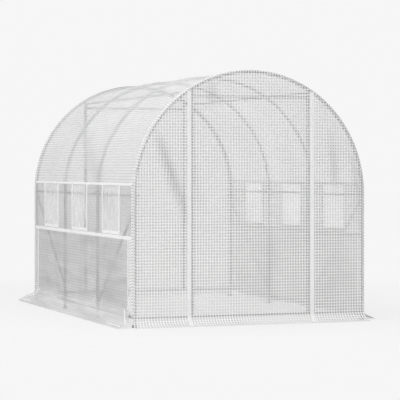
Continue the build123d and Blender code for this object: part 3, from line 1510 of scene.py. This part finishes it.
@dataclass(frozen=True)
class SkirtTip:
    """Round tip of a side skirt, as seen from above.

    Attributes:
        reach: End of the tip along the wall.
        lead_out: How far out the skirt would be at that end, if its tip were not round.
        radius: Radius of the tip.
    """

    reach: float
    lead_out: float
    radius: float

    CUTS = 14

    def edges(self, start: float, inset: float = 0.0) -> list[tuple[Vector, Vector]]:
        """Tangents of the tip, which starts at the free edge of the apron.

        Args:
            start: Free edge of the apron along the wall.
            inset: Distance by which the tangents are moved in.

        Returns:
            Point and direction of each, out of the wall and along it.
        """
        lead = Vector((self.lead_out, self.reach - start)).normalized()
        along = self.reach - self.radius
        centre = Vector(((self.radius + lead.x * (along - start)) / lead.y, along))
        turn = math.pi / 2 + math.acos(lead.x)
        angles = [turn * i / self.CUTS for i in range(self.CUTS + 1)]
        ways = [Vector((math.cos(angle), math.sin(angle))) for angle in angles]
        return [(centre + way * (self.radius - inset), way) for way in ways]


LONG_TIP = SkirtTip(1.572, 60 * MM, 50 * MM)
SHORT_TIP = SkirtTip(1.41, 20 * MM, 140 * MM)


@dataclass
class SideCover:
    """Window band, windows, apron, corner strips and tapes of one side.

    Attributes:
        sizes: Sizes of the tunnel.
        wall: Surface that they hang on.
        window_places: Middles of the windows along the wall.
        window_width: Width of a window.
        window_head: Height of its head.
        window_sill: Height of its sill.
        trim_width: Width of the tape down its sides.
        hem_width: Width of the tape along its sill.
        pane_overlap: How far a pane goes under its trim.
        pane_wave: Depth of the wrinkles of a pane.
        pane_pleat: About the distance from wrinkle to wrinkle.
        upper_tape: Width of the tape over the upper seam.
        lower_tape: Width of the tape over the lower seam.
        tape_reach: End of the tapes along the wall.
        apron_reach: End of the apron along the wall.
        skirt_top: Height below which its skirt leads past it.
        rear_tip: Round tip of the skirt at the rear.
        front_tip: Round tip of the skirt at the front.
        corner_slit: Gap between apron and corner strip.
        edge_hem: Width of the hem on the free edges.
        tip_inset: Distance of the seam around a tip from its edge.
        tip_seam: Width of that seam.
        tip_seam_back: How far that seam starts behind the apron's free edge.
        tip_waste: Share of a skirt's corner that is cut off around its tip.
        rear_hem_end: Distance of the rear hem's end from the edge of the skirt.
    """

    sizes: TunnelSizes
    wall: SideWall
    window_places: tuple[float, ...] = (-0.9, 0.0, 0.9)
    window_width: float = 0.42
    window_head: float = 1.084
    window_sill: float = 0.727
    trim_width: float = 30 * MM
    hem_width: float = 25 * MM
    pane_overlap: float = 8 * MM
    pane_wave: float = 12 * MM
    pane_pleat: float = 46 * MM
    upper_tape: float = 20 * MM
    lower_tape: float = 28 * MM
    tape_reach: float = 1.4397
    apron_reach: float = 1.368
    skirt_top: float = 125 * MM
    rear_tip: SkirtTip = LONG_TIP
    front_tip: SkirtTip = LONG_TIP
    corner_slit: float = 14 * MM
    edge_hem: float = 20 * MM
    tip_inset: float = 26 * MM
    tip_seam: float = 7 * MM
    tip_seam_back: float = 0.2
    tip_waste: float = 0.56
    rear_hem_end: float = 10 * MM

    @property
    def label(self) -> str:
        """Word that the names of these pieces start with."""
        return self.wall.side.label

    def build(self) -> None:
        """Builds the sheets of this side."""
        tapes = [self.add_tape("upper", self.sizes.upper_seam, self.upper_tape)]
        tapes.append(self.add_tape("lower", self.sizes.lower_seam, self.lower_tape))
        tapes += [self.add_trim(i, place) for i, place in enumerate(self.window_places, 1)]
        self.add_band()
        for i, place in enumerate(self.window_places, 1):
            self.add_pane(i, place)
        self.add_apron()
        for end in End:
            self.add_strip(end)

    def add_tape(self, name: str, height: float, width: float) -> Object:
        """Builds the tape over a seam.

        Args:
            name: Which seam, in the name of the piece.
            height: Height of the seam.
            width: Width of the tape.

        Returns:
            The tape.
        """
        run, reach = self.wall.line.run_at(height), self.tape_reach
        cut = Cloth((-reach, run - width / 2), (reach, run + width / 2), CLOTH.step)
        bm = cut.hang(self.wall, CLOTH.tape, CLOTH.tape_lift)
        return add_piece(f"{self.label}_{name}_tape", bm, WHITE_TAPE, Slot.TAPE, f"{self.label}_tapes")

    def add_trim(self, number: int, place: float) -> Object:
        """Builds the tape down both sides and along the sill of a window.

        Args:
            number: Number of the window, from the front.
            place: Its middle along the wall.

        Returns:
            The tape.
        """
        line, half = self.wall.line, self.window_width / 2
        top = line.run_at(self.sizes.upper_seam) + self.upper_tape / 2 + SEAM_GAP
        sill = line.run_at(self.window_sill)
        reach = half + self.trim_width
        cut = Cloth((place - reach, top), (place + reach, sill + self.hem_width), CLOTH.step)
        cut.cut_out((place - half, top - CUT_PAST), (place + half, sill))
        bm = cut.hang(self.wall, CLOTH.tape, CLOTH.tape_lift)
        name = f"{self.label}_window_trim_{number}"
        return add_piece(name, bm, WHITE_TAPE, Slot.TAPE, f"{self.label}_tapes")

    def add_band(self) -> None:
        """Builds the band between the seams, with its windows cut out.
        """
        line = self.wall.line
        top, bottom = line.run_at(self.sizes.upper_seam), line.run_at(self.sizes.lower_seam)
        head, sill = line.run_at(self.window_head), line.run_at(self.window_sill)
        reach, half = self.sizes.sheet_reach, self.window_width / 2
        cut = Cloth((-reach, top), (reach, bottom), CLOTH.step)
        for place in self.window_places:
            cut.cut_out((place - half, head), (place + half, sill))
        area = cut.area()
        node = f"{self.label}_window_band"
        piece = add_piece(f"{node}_sheet", cut.hang(self.wall, CLOTH.sheet), BAND_SHEET, Slot.COVER, node)

    def add_pane(self, number: int, place: float) -> None:
        """Builds the wrinkled mesh of a window.

        Args:
            number: Number of the window, from the front.
            place: Its middle along the wall.
        """
        line, half = self.wall.line, self.window_width / 2 + self.pane_overlap
        top = line.run_at(self.window_head) - self.pane_overlap
        bottom = line.run_at(self.window_sill) + self.pane_overlap
        seed = number * 3.1 + self.wall.side.value

        def pleat(along: float, run: float) -> float:
            """Share, from 0 to 1, of the upright wrinkles' crests.

            Args:
                along: Place along the wall.
                run: Distance down its line.

            Returns:
                The share, 1 on a crest.
            """
            drift = 4.5 * noise.noise(Vector((along * 7, run * 9.0, seed)))
            fine = noise.noise(Vector((along * 40, run * 9.0, seed)))
            crest = 0.5 + 0.22 * math.sin(2 * math.pi * along / self.pane_pleat + drift) + 0.55 * fine
            return min(max(crest, 0.0), 1.0)

        def wrinkle(along: float, run: float) -> float:
            """Depth of the wrinkles, which die out at the sewn edges."""
            edge = min(half - abs(along - place), run - top, bottom - run)
            return self.pane_wave * smooth(edge / (30 * MM)) * (pleat(along, run) - 1)

        cut = Cloth((place - half, top), (place + half, bottom), CLOTH.pane_step)
        bm = cut.hang(self.wall, CLOTH.pane, CLOTH.pane_lift, wrinkle, pleat)
        name = f"{self.label}_window_{number}"
        piece = add_piece(name, bm, MESH_PANE, Slot.MESH, f"{self.label}_windows")
        f"{self.label}_window_trim_{number}"

    def tip_planes(self, end: End, inset: float = 0.0) -> list[tuple[Vector, Vector]]:
        """Upright planes around the tip of the skirt at one end.

        Args:
            end: Which end of the wall.
            inset: Distance from the tip's edge.

        Returns:
            Point and outward normal of each plane.
        """
        side, face, way = self.wall.side.value, self.sizes.cover_face, end.value
        tip = self.front_tip if end is End.FRONT else self.rear_tip
        return [
            (Vector((side * (face + spot.x), way * spot.y, 0)), Vector((side * out.x, way * out.y, 0)))
            for spot, out in tip.edges(self.apron_reach, inset)
        ]

    def add_apron(self) -> None:
        """Builds the apron with its flared skirt, and the hems and seams on it."""
        line, node = self.wall.line, f"{self.label}_apron"
        top, skirt = line.run_at(self.sizes.lower_seam), self.run_below(self.skirt_top)
        reach = self.rear_tip.reach
        cut = Cloth((-reach, top), (reach, line.length), CLOTH.step)
        for end in End:
            side = sorted((end.value * self.apron_reach, end.value * (reach + CUT_PAST)))
            cut.cut_out((side[0], top - CUT_PAST), (side[1], skirt))
        corner = (reach - self.apron_reach) * (line.length - skirt)
        area = cut.area() - len(End) * self.tip_waste * corner
        trims = [plane for end in End for plane in self.tip_planes(end)]
        bm = cut.hang(self.wall, CLOTH.sheet, trims=trims)
        piece = add_piece(f"{node}_sheet", bm, APRON_SHEET, Slot.COVER, node)
        hems = [self.add_hem(End.FRONT, top, skirt)]
        hems.append(self.add_hem(End.REAR, top, line.length - self.rear_hem_end))
        hems += [self.add_tip_seam(end, skirt) for end in End]
        line.length - top
        f"{self.label}_window_band_sheet"

    def run_below(self, height: float) -> float:
        """Run of a height on the bend of the skirt, found by halving.

        Args:
            height: Height above the ground.

        Returns:
            The run.
        """
        line = self.wall.line
        low, high = line.bend_start, line.length
        for _ in range(40):
            middle = (low + high) / 2
            if line.at(middle)[0].y > height:
                low = middle
            else:
                high = middle
        return low

    def add_hem(self, end: End, top: float, bottom: float) -> Object:
        """Builds the hem on the free edge of the apron at one end.

        Args:
            end: Which end of the wall.
            top: Run of the lower seam.
            bottom: Run of the hem's lower end.

        Returns:
            The hem.
        """
        sides = sorted((end.value * self.apron_reach, end.value * (self.apron_reach - self.edge_hem)))
        cut = Cloth((sides[0], top + self.lower_tape / 2 + SEAM_GAP), (sides[1], bottom), CLOTH.step)
        bm = cut.hang(self.wall, CLOTH.tape, CLOTH.tape_lift)
        return add_piece(f"{self.label}_{end.label}_apron_hem", bm, WHITE_TAPE, Slot.TAPE)

    def add_tip_seam(self, end: End, top: float) -> Object:
        """Builds the seam around the tip of the skirt at one end.

        Args:
            end: Which end of the wall.
            top: Run at which the skirt leads past the apron.

        Returns:
            The seam.
        """
        line = self.wall.line
        sides = sorted((end.value * (self.apron_reach - self.tip_seam_back), end.value * self.rear_tip.reach))
        cut = Cloth((sides[0], top), (sides[1], line.length), CLOTH.tip_step)
        bm = cut.hang(
            self.wall, CLOTH.tape, CLOTH.tape_lift, trims=self.tip_planes(end, self.tip_inset),
            hollow=self.tip_planes(end, self.tip_inset + self.tip_seam),
        )
        return add_piece(f"{self.label}_{end.label}_skirt_seam", bm, WHITE_TAPE, Slot.TAPE)

    def add_strip(self, end: End) -> None:
        """Builds the upright strip between apron and end wall.

        Args:
            end: Which end of the wall.
        """
        line = self.wall.line
        inner, outer = self.apron_reach + self.corner_slit, self.sizes.sheet_reach
        sides = sorted((end.value * inner, end.value * outer))
        top, bottom = line.run_at(self.sizes.lower_seam), line.run_at(self.sizes.strip_foot)
        cut = Cloth((sides[0], top), (sides[1], bottom), CLOTH.step)
        node = f"{self.label}_corner_strips"
        name = f"{self.label}_{end.label}_corner_strip"
        straight = replace(self.wall, line=line.straight())
        piece = add_piece(name, cut.hang(straight, CLOTH.sheet), GRID_SHEET, Slot.COVER, node)
        f"{end.label}_hoop_legs_tube"


@dataclass
class RoofCover:
    """Sheet over the arches, from seam to seam.

    Attributes:
        sizes: Sizes of the tunnel.
        wall: Surface that it hangs on.
    """

    sizes: TunnelSizes
    wall: RoofWall

    def build(self) -> None:
        """Builds the roof sheet."""
        quarter = self.wall.line.face * math.pi / 2
        half = quarter + self.wall.line.run_at(self.sizes.upper_seam)
        reach = self.sizes.sheet_reach
        cut = Cloth((-reach, -half), (reach, half), CLOTH.step)
        bm = cut.hang(self.wall, CLOTH.sheet)
        piece = add_piece("roof_sheet", bm, ROOF_SHEET, Slot.COVER, "roof_cover")


@dataclass
class EndCover:
    """End wall in the arch, whole or cut in panels at its zips, with its rim.

    Attributes:
        sizes: Sizes of the tunnel.
        wall: Surface that it hangs on.
        zip_place: Distance of the zips from the middle.
        corner: Radius of the lower corners of the skirt.
        roof: Surface of roof and sides, for the lap over their edge.
        rim_width: Width of the lap on roof and sides.
        rim_turn: Width of the lap on the end wall.
        arch_cuts: Cuts that trim the arch.
        finish: What the wall is made of.
    """

    sizes: TunnelSizes
    wall: EndWall
    roof: RimWall
    zip_place: float = ZIP_PLACE
    corner: float = 10 * MM
    rim_width: float = 58 * MM
    rim_turn: float = 9 * MM
    arch_cuts: int = 48
    finish: Finish = GRID_SHEET

    def cut_wall(self, low: float, high: float) -> Cloth:
        """Cuts the part of the wall between two places across it.

        Args:
            low: Left edge.
            high: Right edge.

        Returns:
            The flat cut.
        """
        radius, bottom = self.sizes.cover_face, self.wall.line.length
        cut = Cloth((low, -radius), (high, bottom), CLOTH.step)
        cut.trim_round((0, 0), radius, -math.pi, 0, self.arch_cuts)
        for way, start in ((1, 0.0), (-1, math.pi)):
            if max(way * low, way * high) > radius - self.corner:
                centre = (way * (radius - self.corner), bottom - self.corner)
                cut.trim_round(centre, self.corner, start, math.pi / 2, 6)
        return cut

    def add_panel(self, name: str, node: str, low: float, high: float) -> None:
        """Builds one panel of the wall.

        Args:
            name: Name of the piece.
            node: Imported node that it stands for.
            low: Left edge.
            high: Right edge.
        """
        cut = self.cut_wall(low, high)
        area = cut.area()
        piece = add_piece(name, cut.hang(self.wall, CLOTH.sheet), self.finish, Slot.COVER, node)
        f"{self.wall.end.label}_hoop_arch_tube"

    def add_rim(self) -> None:
        """Builds the lap over the edge of roof and sides, down to the bend of the skirts."""
        label, way = self.wall.end.label, self.wall.end.value
        half = self.roof.line.face * math.pi / 2 + self.roof.line.run_at(self.sizes.rim_foot)
        edge = self.sizes.wall_face + self.rim_turn
        sides = sorted((way * edge, way * (self.sizes.wall_face - self.rim_width)))
        cut = Cloth((sides[0], -half), (sides[1], half), CLOTH.rim_step)
        bm = cut.hang(self.roof, CLOTH.tape, CLOTH.tape_lift)
        piece = add_piece(f"{label}_rim_lap", bm, LAPPED_SHEET, Slot.TAPE, f"{label}_rim")

    def build(self) -> None:
        """Builds the wall and its rim."""
        edge = self.sizes.cover_face
        if self.wall.end is End.REAR:
            self.add_panel("rear_wall_sheet", "rear_wall", -edge, edge)
        else:
            outer, inner = self.zip_place + SEAM_GAP, self.zip_place - SEAM_GAP
            self.add_panel("front_left_sheet", "front_wall_left", -edge, -outer)
            self.add_panel("front_door_sheet", "front_door", -inner, inner)
            self.add_panel("front_right_sheet", "front_wall_right", outer, edge)
        self.add_rim()


@dataclass
class DoorZips:
    """Zips on both sides of the door, from the rim down over the bend of the skirt.

    Attributes:
        sizes: Sizes of the tunnel.
        wall: Surface that they hang on.
        place: Distance of the zips from the middle.
        width: Width of the zip tape.
        end_height: Distance of its end from the skirt's edge.
        head_gap: Gap between its head and the rim.
        tooth: Length, height and thickness of a tooth.
        tooth_pitch: From tooth to tooth.
        tooth_shift: Distance of every other tooth from the middle, as a share of its length.
        tooth_lift: Distance of its middle off the tape.
        slider: Width, length and height of the slider.
        slider_round: Radius of its edges.
        pull: Width, length and thickness of its pull.
        pull_round: Radius of the pull's edges.
        pull_lap: How far the pull lies over the slider.
        slider_height: Height of the slider above the ground.
    """

    sizes: TunnelSizes
    wall: EndWall
    place: float = ZIP_PLACE
    width: float = 33 * MM
    end_height: float = 9 * MM
    head_gap: float = 8 * MM
    tooth: tuple[float, float, float] = (6 * MM, 2.6 * MM, 2 * MM)
    tooth_pitch: float = 5.2 * MM
    tooth_shift: float = 0.2
    tooth_lift: float = 0.8 * MM
    slider: tuple[float, float, float] = (13 * MM, 22 * MM, 7 * MM)
    slider_round: float = 2 * MM
    pull: tuple[float, float, float] = (9 * MM, 38 * MM, 1.8 * MM)
    pull_round: float = 0.8 * MM
    pull_lap: float = 6 * MM
    slider_height: float = 0.2

    def span(self) -> tuple[float, float]:
        """Runs of the head and the foot of a zip.

        Returns:
            Run of the head and run of the foot.
        """
        outer = self.place + self.width / 2
        head = -math.sqrt((self.sizes.cover_face - self.head_gap) ** 2 - outer**2)
        return head, self.wall.line.length - self.end_height

    def add_box(
        self, bm: BMesh, spot: tuple[float, float], size: Sequence[float], lift: float,
        bevel: float = 0.0,
    ) -> None:
        """Adds a small box that lies on the wall.

        Args:
            bm: Mesh that it goes to.
            spot: Place across the wall and run.
            size: Size across, along the run and out of the wall.
            lift: Distance of its middle off the wall.
            bevel: Radius of its edges.
        """
        out = self.wall.outward(*spot).normalized()
        across = Vector((1, 0, 0))
        turn = Matrix((across, out.cross(across), out)).transposed().to_4x4()
        place = Matrix.Translation(self.wall.place(*spot, lift)) @ turn @ Matrix.Diagonal((*size, 1))
        made = bmesh.ops.create_cube(bm, size=1, matrix=place)
        if bevel:
            round_edges(bm, edges_of(made["verts"]), bevel)

    def build(self) -> None:
        """Builds the tape, the teeth and the slider of each zip."""
        for side in Side:
            self.add_zip(side)

    def add_zip(self, side: Side) -> None:
        """Builds one zip.

        Args:
            side: Side of the door that it closes.
        """
        x, (head, foot) = side.value * self.place, self.span()
        cut = Cloth((x - self.width / 2, head), (x + self.width / 2, foot), CLOTH.zip_step)
        bm = cut.hang(self.wall, CLOTH.tape, CLOTH.tape_lift)
        tape = add_piece(f"{side.label}_zip_tape", bm, WHITE_TAPE, Slot.ZIP, "front_zips")
        teeth = bmesh.new()
        count = int((foot - head) / self.tooth_pitch)
        for i in range(count):
            shift = self.tooth[0] * (self.tooth_shift if i % 2 else -self.tooth_shift)
            run = head + (i + 0.5) * self.tooth_pitch
            self.add_box(teeth, (x + shift, run), self.tooth, CLOTH.tape_lift + self.tooth_lift)
        add_piece(f"{side.label}_zip_teeth", teeth, ZIP_PLASTIC, Slot.ZIP)
        slider = bmesh.new()
        run = self.wall.line.run_at(self.slider_height)
        self.add_box(slider, (x, run), self.slider, CLOTH.tape_lift + self.slider[2] / 2, self.slider_round)
        hang = run + self.slider[1] / 2 + self.pull[1] / 2 - self.pull_lap
        self.add_box(slider, (x, hang), self.pull, CLOTH.tape_lift + self.slider[2], self.pull_round)
        shade(slider)
        add_piece(f"{side.label}_zip_slider", slider, ZIP_PLASTIC, Slot.ZIP)


# Studio


@dataclass
class Studio:
    """Pale floor, soft light and the camera.

    Attributes:
        backdrop: Colour that the camera sees around the object.
        sky: Strength of the even light from all sides.
        floor: Colour of the floor.
        floor_share: Share of the floor that takes light and shade, for the camera.
        floor_near: Distance from the middle to which the floor is whole.
        floor_far: Distance at which it has faded into the backdrop.
        camera_place: Where the camera stands.
        camera_yaw: Angle of its view to the right of +Y.
        lens: Focal length, in millimetres.
        shift: Shift of the picture up, as a share of its width.
    """

    backdrop: str = "F6F6F6"
    sky: float = 0.62
    floor: str = "EAEAEA"
    floor_share: float = 0.3
    floor_near: float = 2.6
    floor_far: float = 5.0
    camera_place: tuple[float, float, float] = (-5.138, -14.465, 1.231)
    camera_yaw: float = math.radians(19.95)
    lens: float = 159.4
    shift: float = -0.081

    def build(self) -> None:
        """Builds floor, light and camera."""
        bpy.context.scene.view_settings.view_transform = "Standard"
        self.add_world()
        self.add_floor()
        self.add_lamp("overhead", (-1.5, -1.0, 7.0), (0, 0, 0.5), 7.0, 212)
        self.add_lamp("front", (-3.0, -11.0, 6.5), (0, -0.5, 1.0), 5.0, 225)
        self.add_lamp("left", (-10.0, -4.5, 4.5), (-0.9, 0, 0.9), 4.0, 215)
        self.add_lamp("right", (9.0, 4.0, 4.0), (0.9, 0, 0.9), 5.0, 245)
        self.add_camera()

    def seen_rays(self, tree: NodeTree) -> Node:
        """Node that is 1 for rays that show the backdrop to the camera, also in gloss and glass.

        Args:
            tree: Node tree of the world or the floor.

        Returns:
            A node that is 1 or 0.
        """
        path = add_node(tree, "LightPath").outputs
        first = add_node(
            tree, "Math", {0: path["Is Camera Ray"], 1: path["Is Glossy Ray"]}, operation="MAXIMUM"
        )
        return add_node(tree, "Math", {0: first, 1: path["Is Transmission Ray"]}, operation="MAXIMUM")

    def add_world(self) -> None:
        """Makes the world, plain for the camera and an even light for the object."""
        world = bpy.data.worlds.new("Studio")
        bpy.context.scene.world = world
        world.use_nodes = True
        tree = world.node_tree
        tree.nodes.clear()
        light = add_node(tree, "Background", {"Color": linear("FFFFFF"), "Strength": self.sky})
        plain = add_node(tree, "Background", {"Color": linear(self.backdrop), "Strength": 1.0})
        mixed = add_node(tree, "MixShader", {0: self.seen_rays(tree), 1: light, 2: plain})
        add_node(tree, "OutputWorld", {"Surface": mixed})

    def add_floor(self) -> None:
        """Makes the floor, which keeps a soft shadow and fades into the backdrop."""
        bm = bmesh.new()
        bmesh.ops.create_circle(bm, cap_ends=True, segments=64, radius=self.floor_far + 1)
        bmesh.ops.translate(bm, verts=bm.verts, vec=(0, 0, -0.5 * MM))
        mesh = bpy.data.meshes.new("floor")
        bm.to_mesh(mesh)
        bm.free()
        floor = add_object("floor", mesh)
        material = bpy.data.materials.new("Pale_studio_floor")
        material.use_nodes = True
        tree = material.node_tree
        tree.nodes.clear()
        matte = add_node(tree, "BsdfDiffuse", {"Color": linear(self.floor)})
        plain = add_node(tree, "Emission", {"Color": linear(self.backdrop), "Strength": 1.0})
        seen = self.seen_rays(tree)
        share = add_node(tree, "Math", {0: seen, 1: 1 - self.floor_share}, operation="MULTIPLY")
        paint = add_node(tree, "MixShader", {0: share, 1: matte, 2: plain})
        place = add_node(tree, "TexCoord").outputs["Object"]
        away = add_node(tree, "VectorMath", {0: place}, operation="LENGTH").outputs["Value"]
        fade = add_node(
            tree, "MapRange", {"Value": away, "From Min": self.floor_near, "From Max": self.floor_far},
            interpolation_type="SMOOTHSTEP",
        )
        gone = add_node(tree, "BsdfTransparent")
        faded = add_node(tree, "MixShader", {0: fade, 1: paint, 2: gone})
        add_node(tree, "OutputMaterial", {"Surface": faded})
        mesh.materials.append(material)

    def add_lamp(
        self, name: str, place: Sequence[float], aim: Sequence[float], size: float, power: float
    ) -> None:
        """Adds a square soft lamp.

        Args:
            name: Name of the lamp.
            place: Where it stands.
            aim: Point that it faces.
            size: Length of its side.
            power: Its power, in watts.
        """
        data = bpy.data.lights.new(name, "AREA")
        data.shape = "SQUARE"
        data.size = size
        data.energy = power
        lamp = add_object(name, data)
        lamp.location = place
        lamp.rotation_euler = (Vector(aim) - Vector(place)).to_track_quat("-Z", "Y").to_euler()

    def add_camera(self) -> None:
        """Adds the camera at the picture's angle."""
        data = bpy.data.cameras.new("camera")
        data.lens = self.lens
        data.shift_y = self.shift
        data.clip_end = 500
        camera = add_object("camera", data)
        camera.location = self.camera_place
        camera.rotation_euler = (math.pi / 2, 0, -self.camera_yaw)
        bpy.context.scene.camera = camera


def main() -> None:
    """Builds the sub-assemblies in order."""
    logging.basicConfig(level=logging.INFO, format="%(name)s: %(message)s")
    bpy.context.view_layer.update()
    sizes = TunnelSizes.read()
    Studio().build()
    hoop_frame = HoopFrame(sizes)
    hoop_frame.build()
    JointBolts(sizes, hoop_frame).build()
    MouldedFeet().build()
    side_line = HangLine(
        sizes.cover_face - FACE_INSET, sizes.spring, sizes.side_flare, arched=True, fold=66 * MM,
        bend=140 * MM,
    )
    sides = {side: SideWall(side_line, side=side, hoops=sizes.hoops) for side in Side}
    RoofCover(sizes, RoofWall(side_line, halves=tuple(sides.values()))).build()
    SideCover(sizes, sides[Side.LEFT]).build()
    SideCover(sizes, sides[Side.RIGHT], front_tip=SHORT_TIP).build()
    end_line = HangLine(
        sizes.wall_face - FACE_INSET, sizes.spring, sizes.end_flare, arched=False, fold=14 * MM, bend=90 * MM
    )
    rim = RimWall(side_line, halves=tuple(sides.values()), edge=sizes.wall_face)
    # Folds of the front wall; their crests get painted shade in the sheet's colour.
    front_folds = (
        Fold((-0.86, -0.62), (-0.50, 0.30), 40 * MM, 24 * MM),
        Fold((-0.36, -0.93), (-0.34, -0.66), 40 * MM, 14 * MM, 0.7),
        Fold((0.66, -0.55), (0.72, 0.05), 36 * MM, 14 * MM, 0.6),
        Fold((0.84, -0.38), (0.93, 0.10), 28 * MM, 14 * MM, 0.6),
        Fold((0.12, 0.20), (0.10, 0.95), 110 * MM, 12 * MM, 0.3),
    )
    front = EndWall(
        end_line, end=End.FRONT, rim=sizes.cover_face, held=(-ZIP_PLACE, ZIP_PLACE), folds=front_folds,
        ripple=2 * MM,
    )
    EndCover(sizes, front, rim).build()
    DoorZips(sizes, front).build()
    # Folds of the rear wall; their crests get painted shade in the sheet's colour.
    rear_folds = (
        Fold((-0.55, -0.70), (-0.20, 0.35), 60 * MM, 10 * MM),
        Fold((0.50, -0.60), (0.70, 0.30), 50 * MM, 10 * MM),
    )
    rear = EndWall(end_line, end=End.REAR, rim=sizes.cover_face, folds=rear_folds, ripple=2 * MM)
    EndCover(sizes, rear, rim, finish=REAR_SHEET).build()


if __name__ == "__main__":
    main()
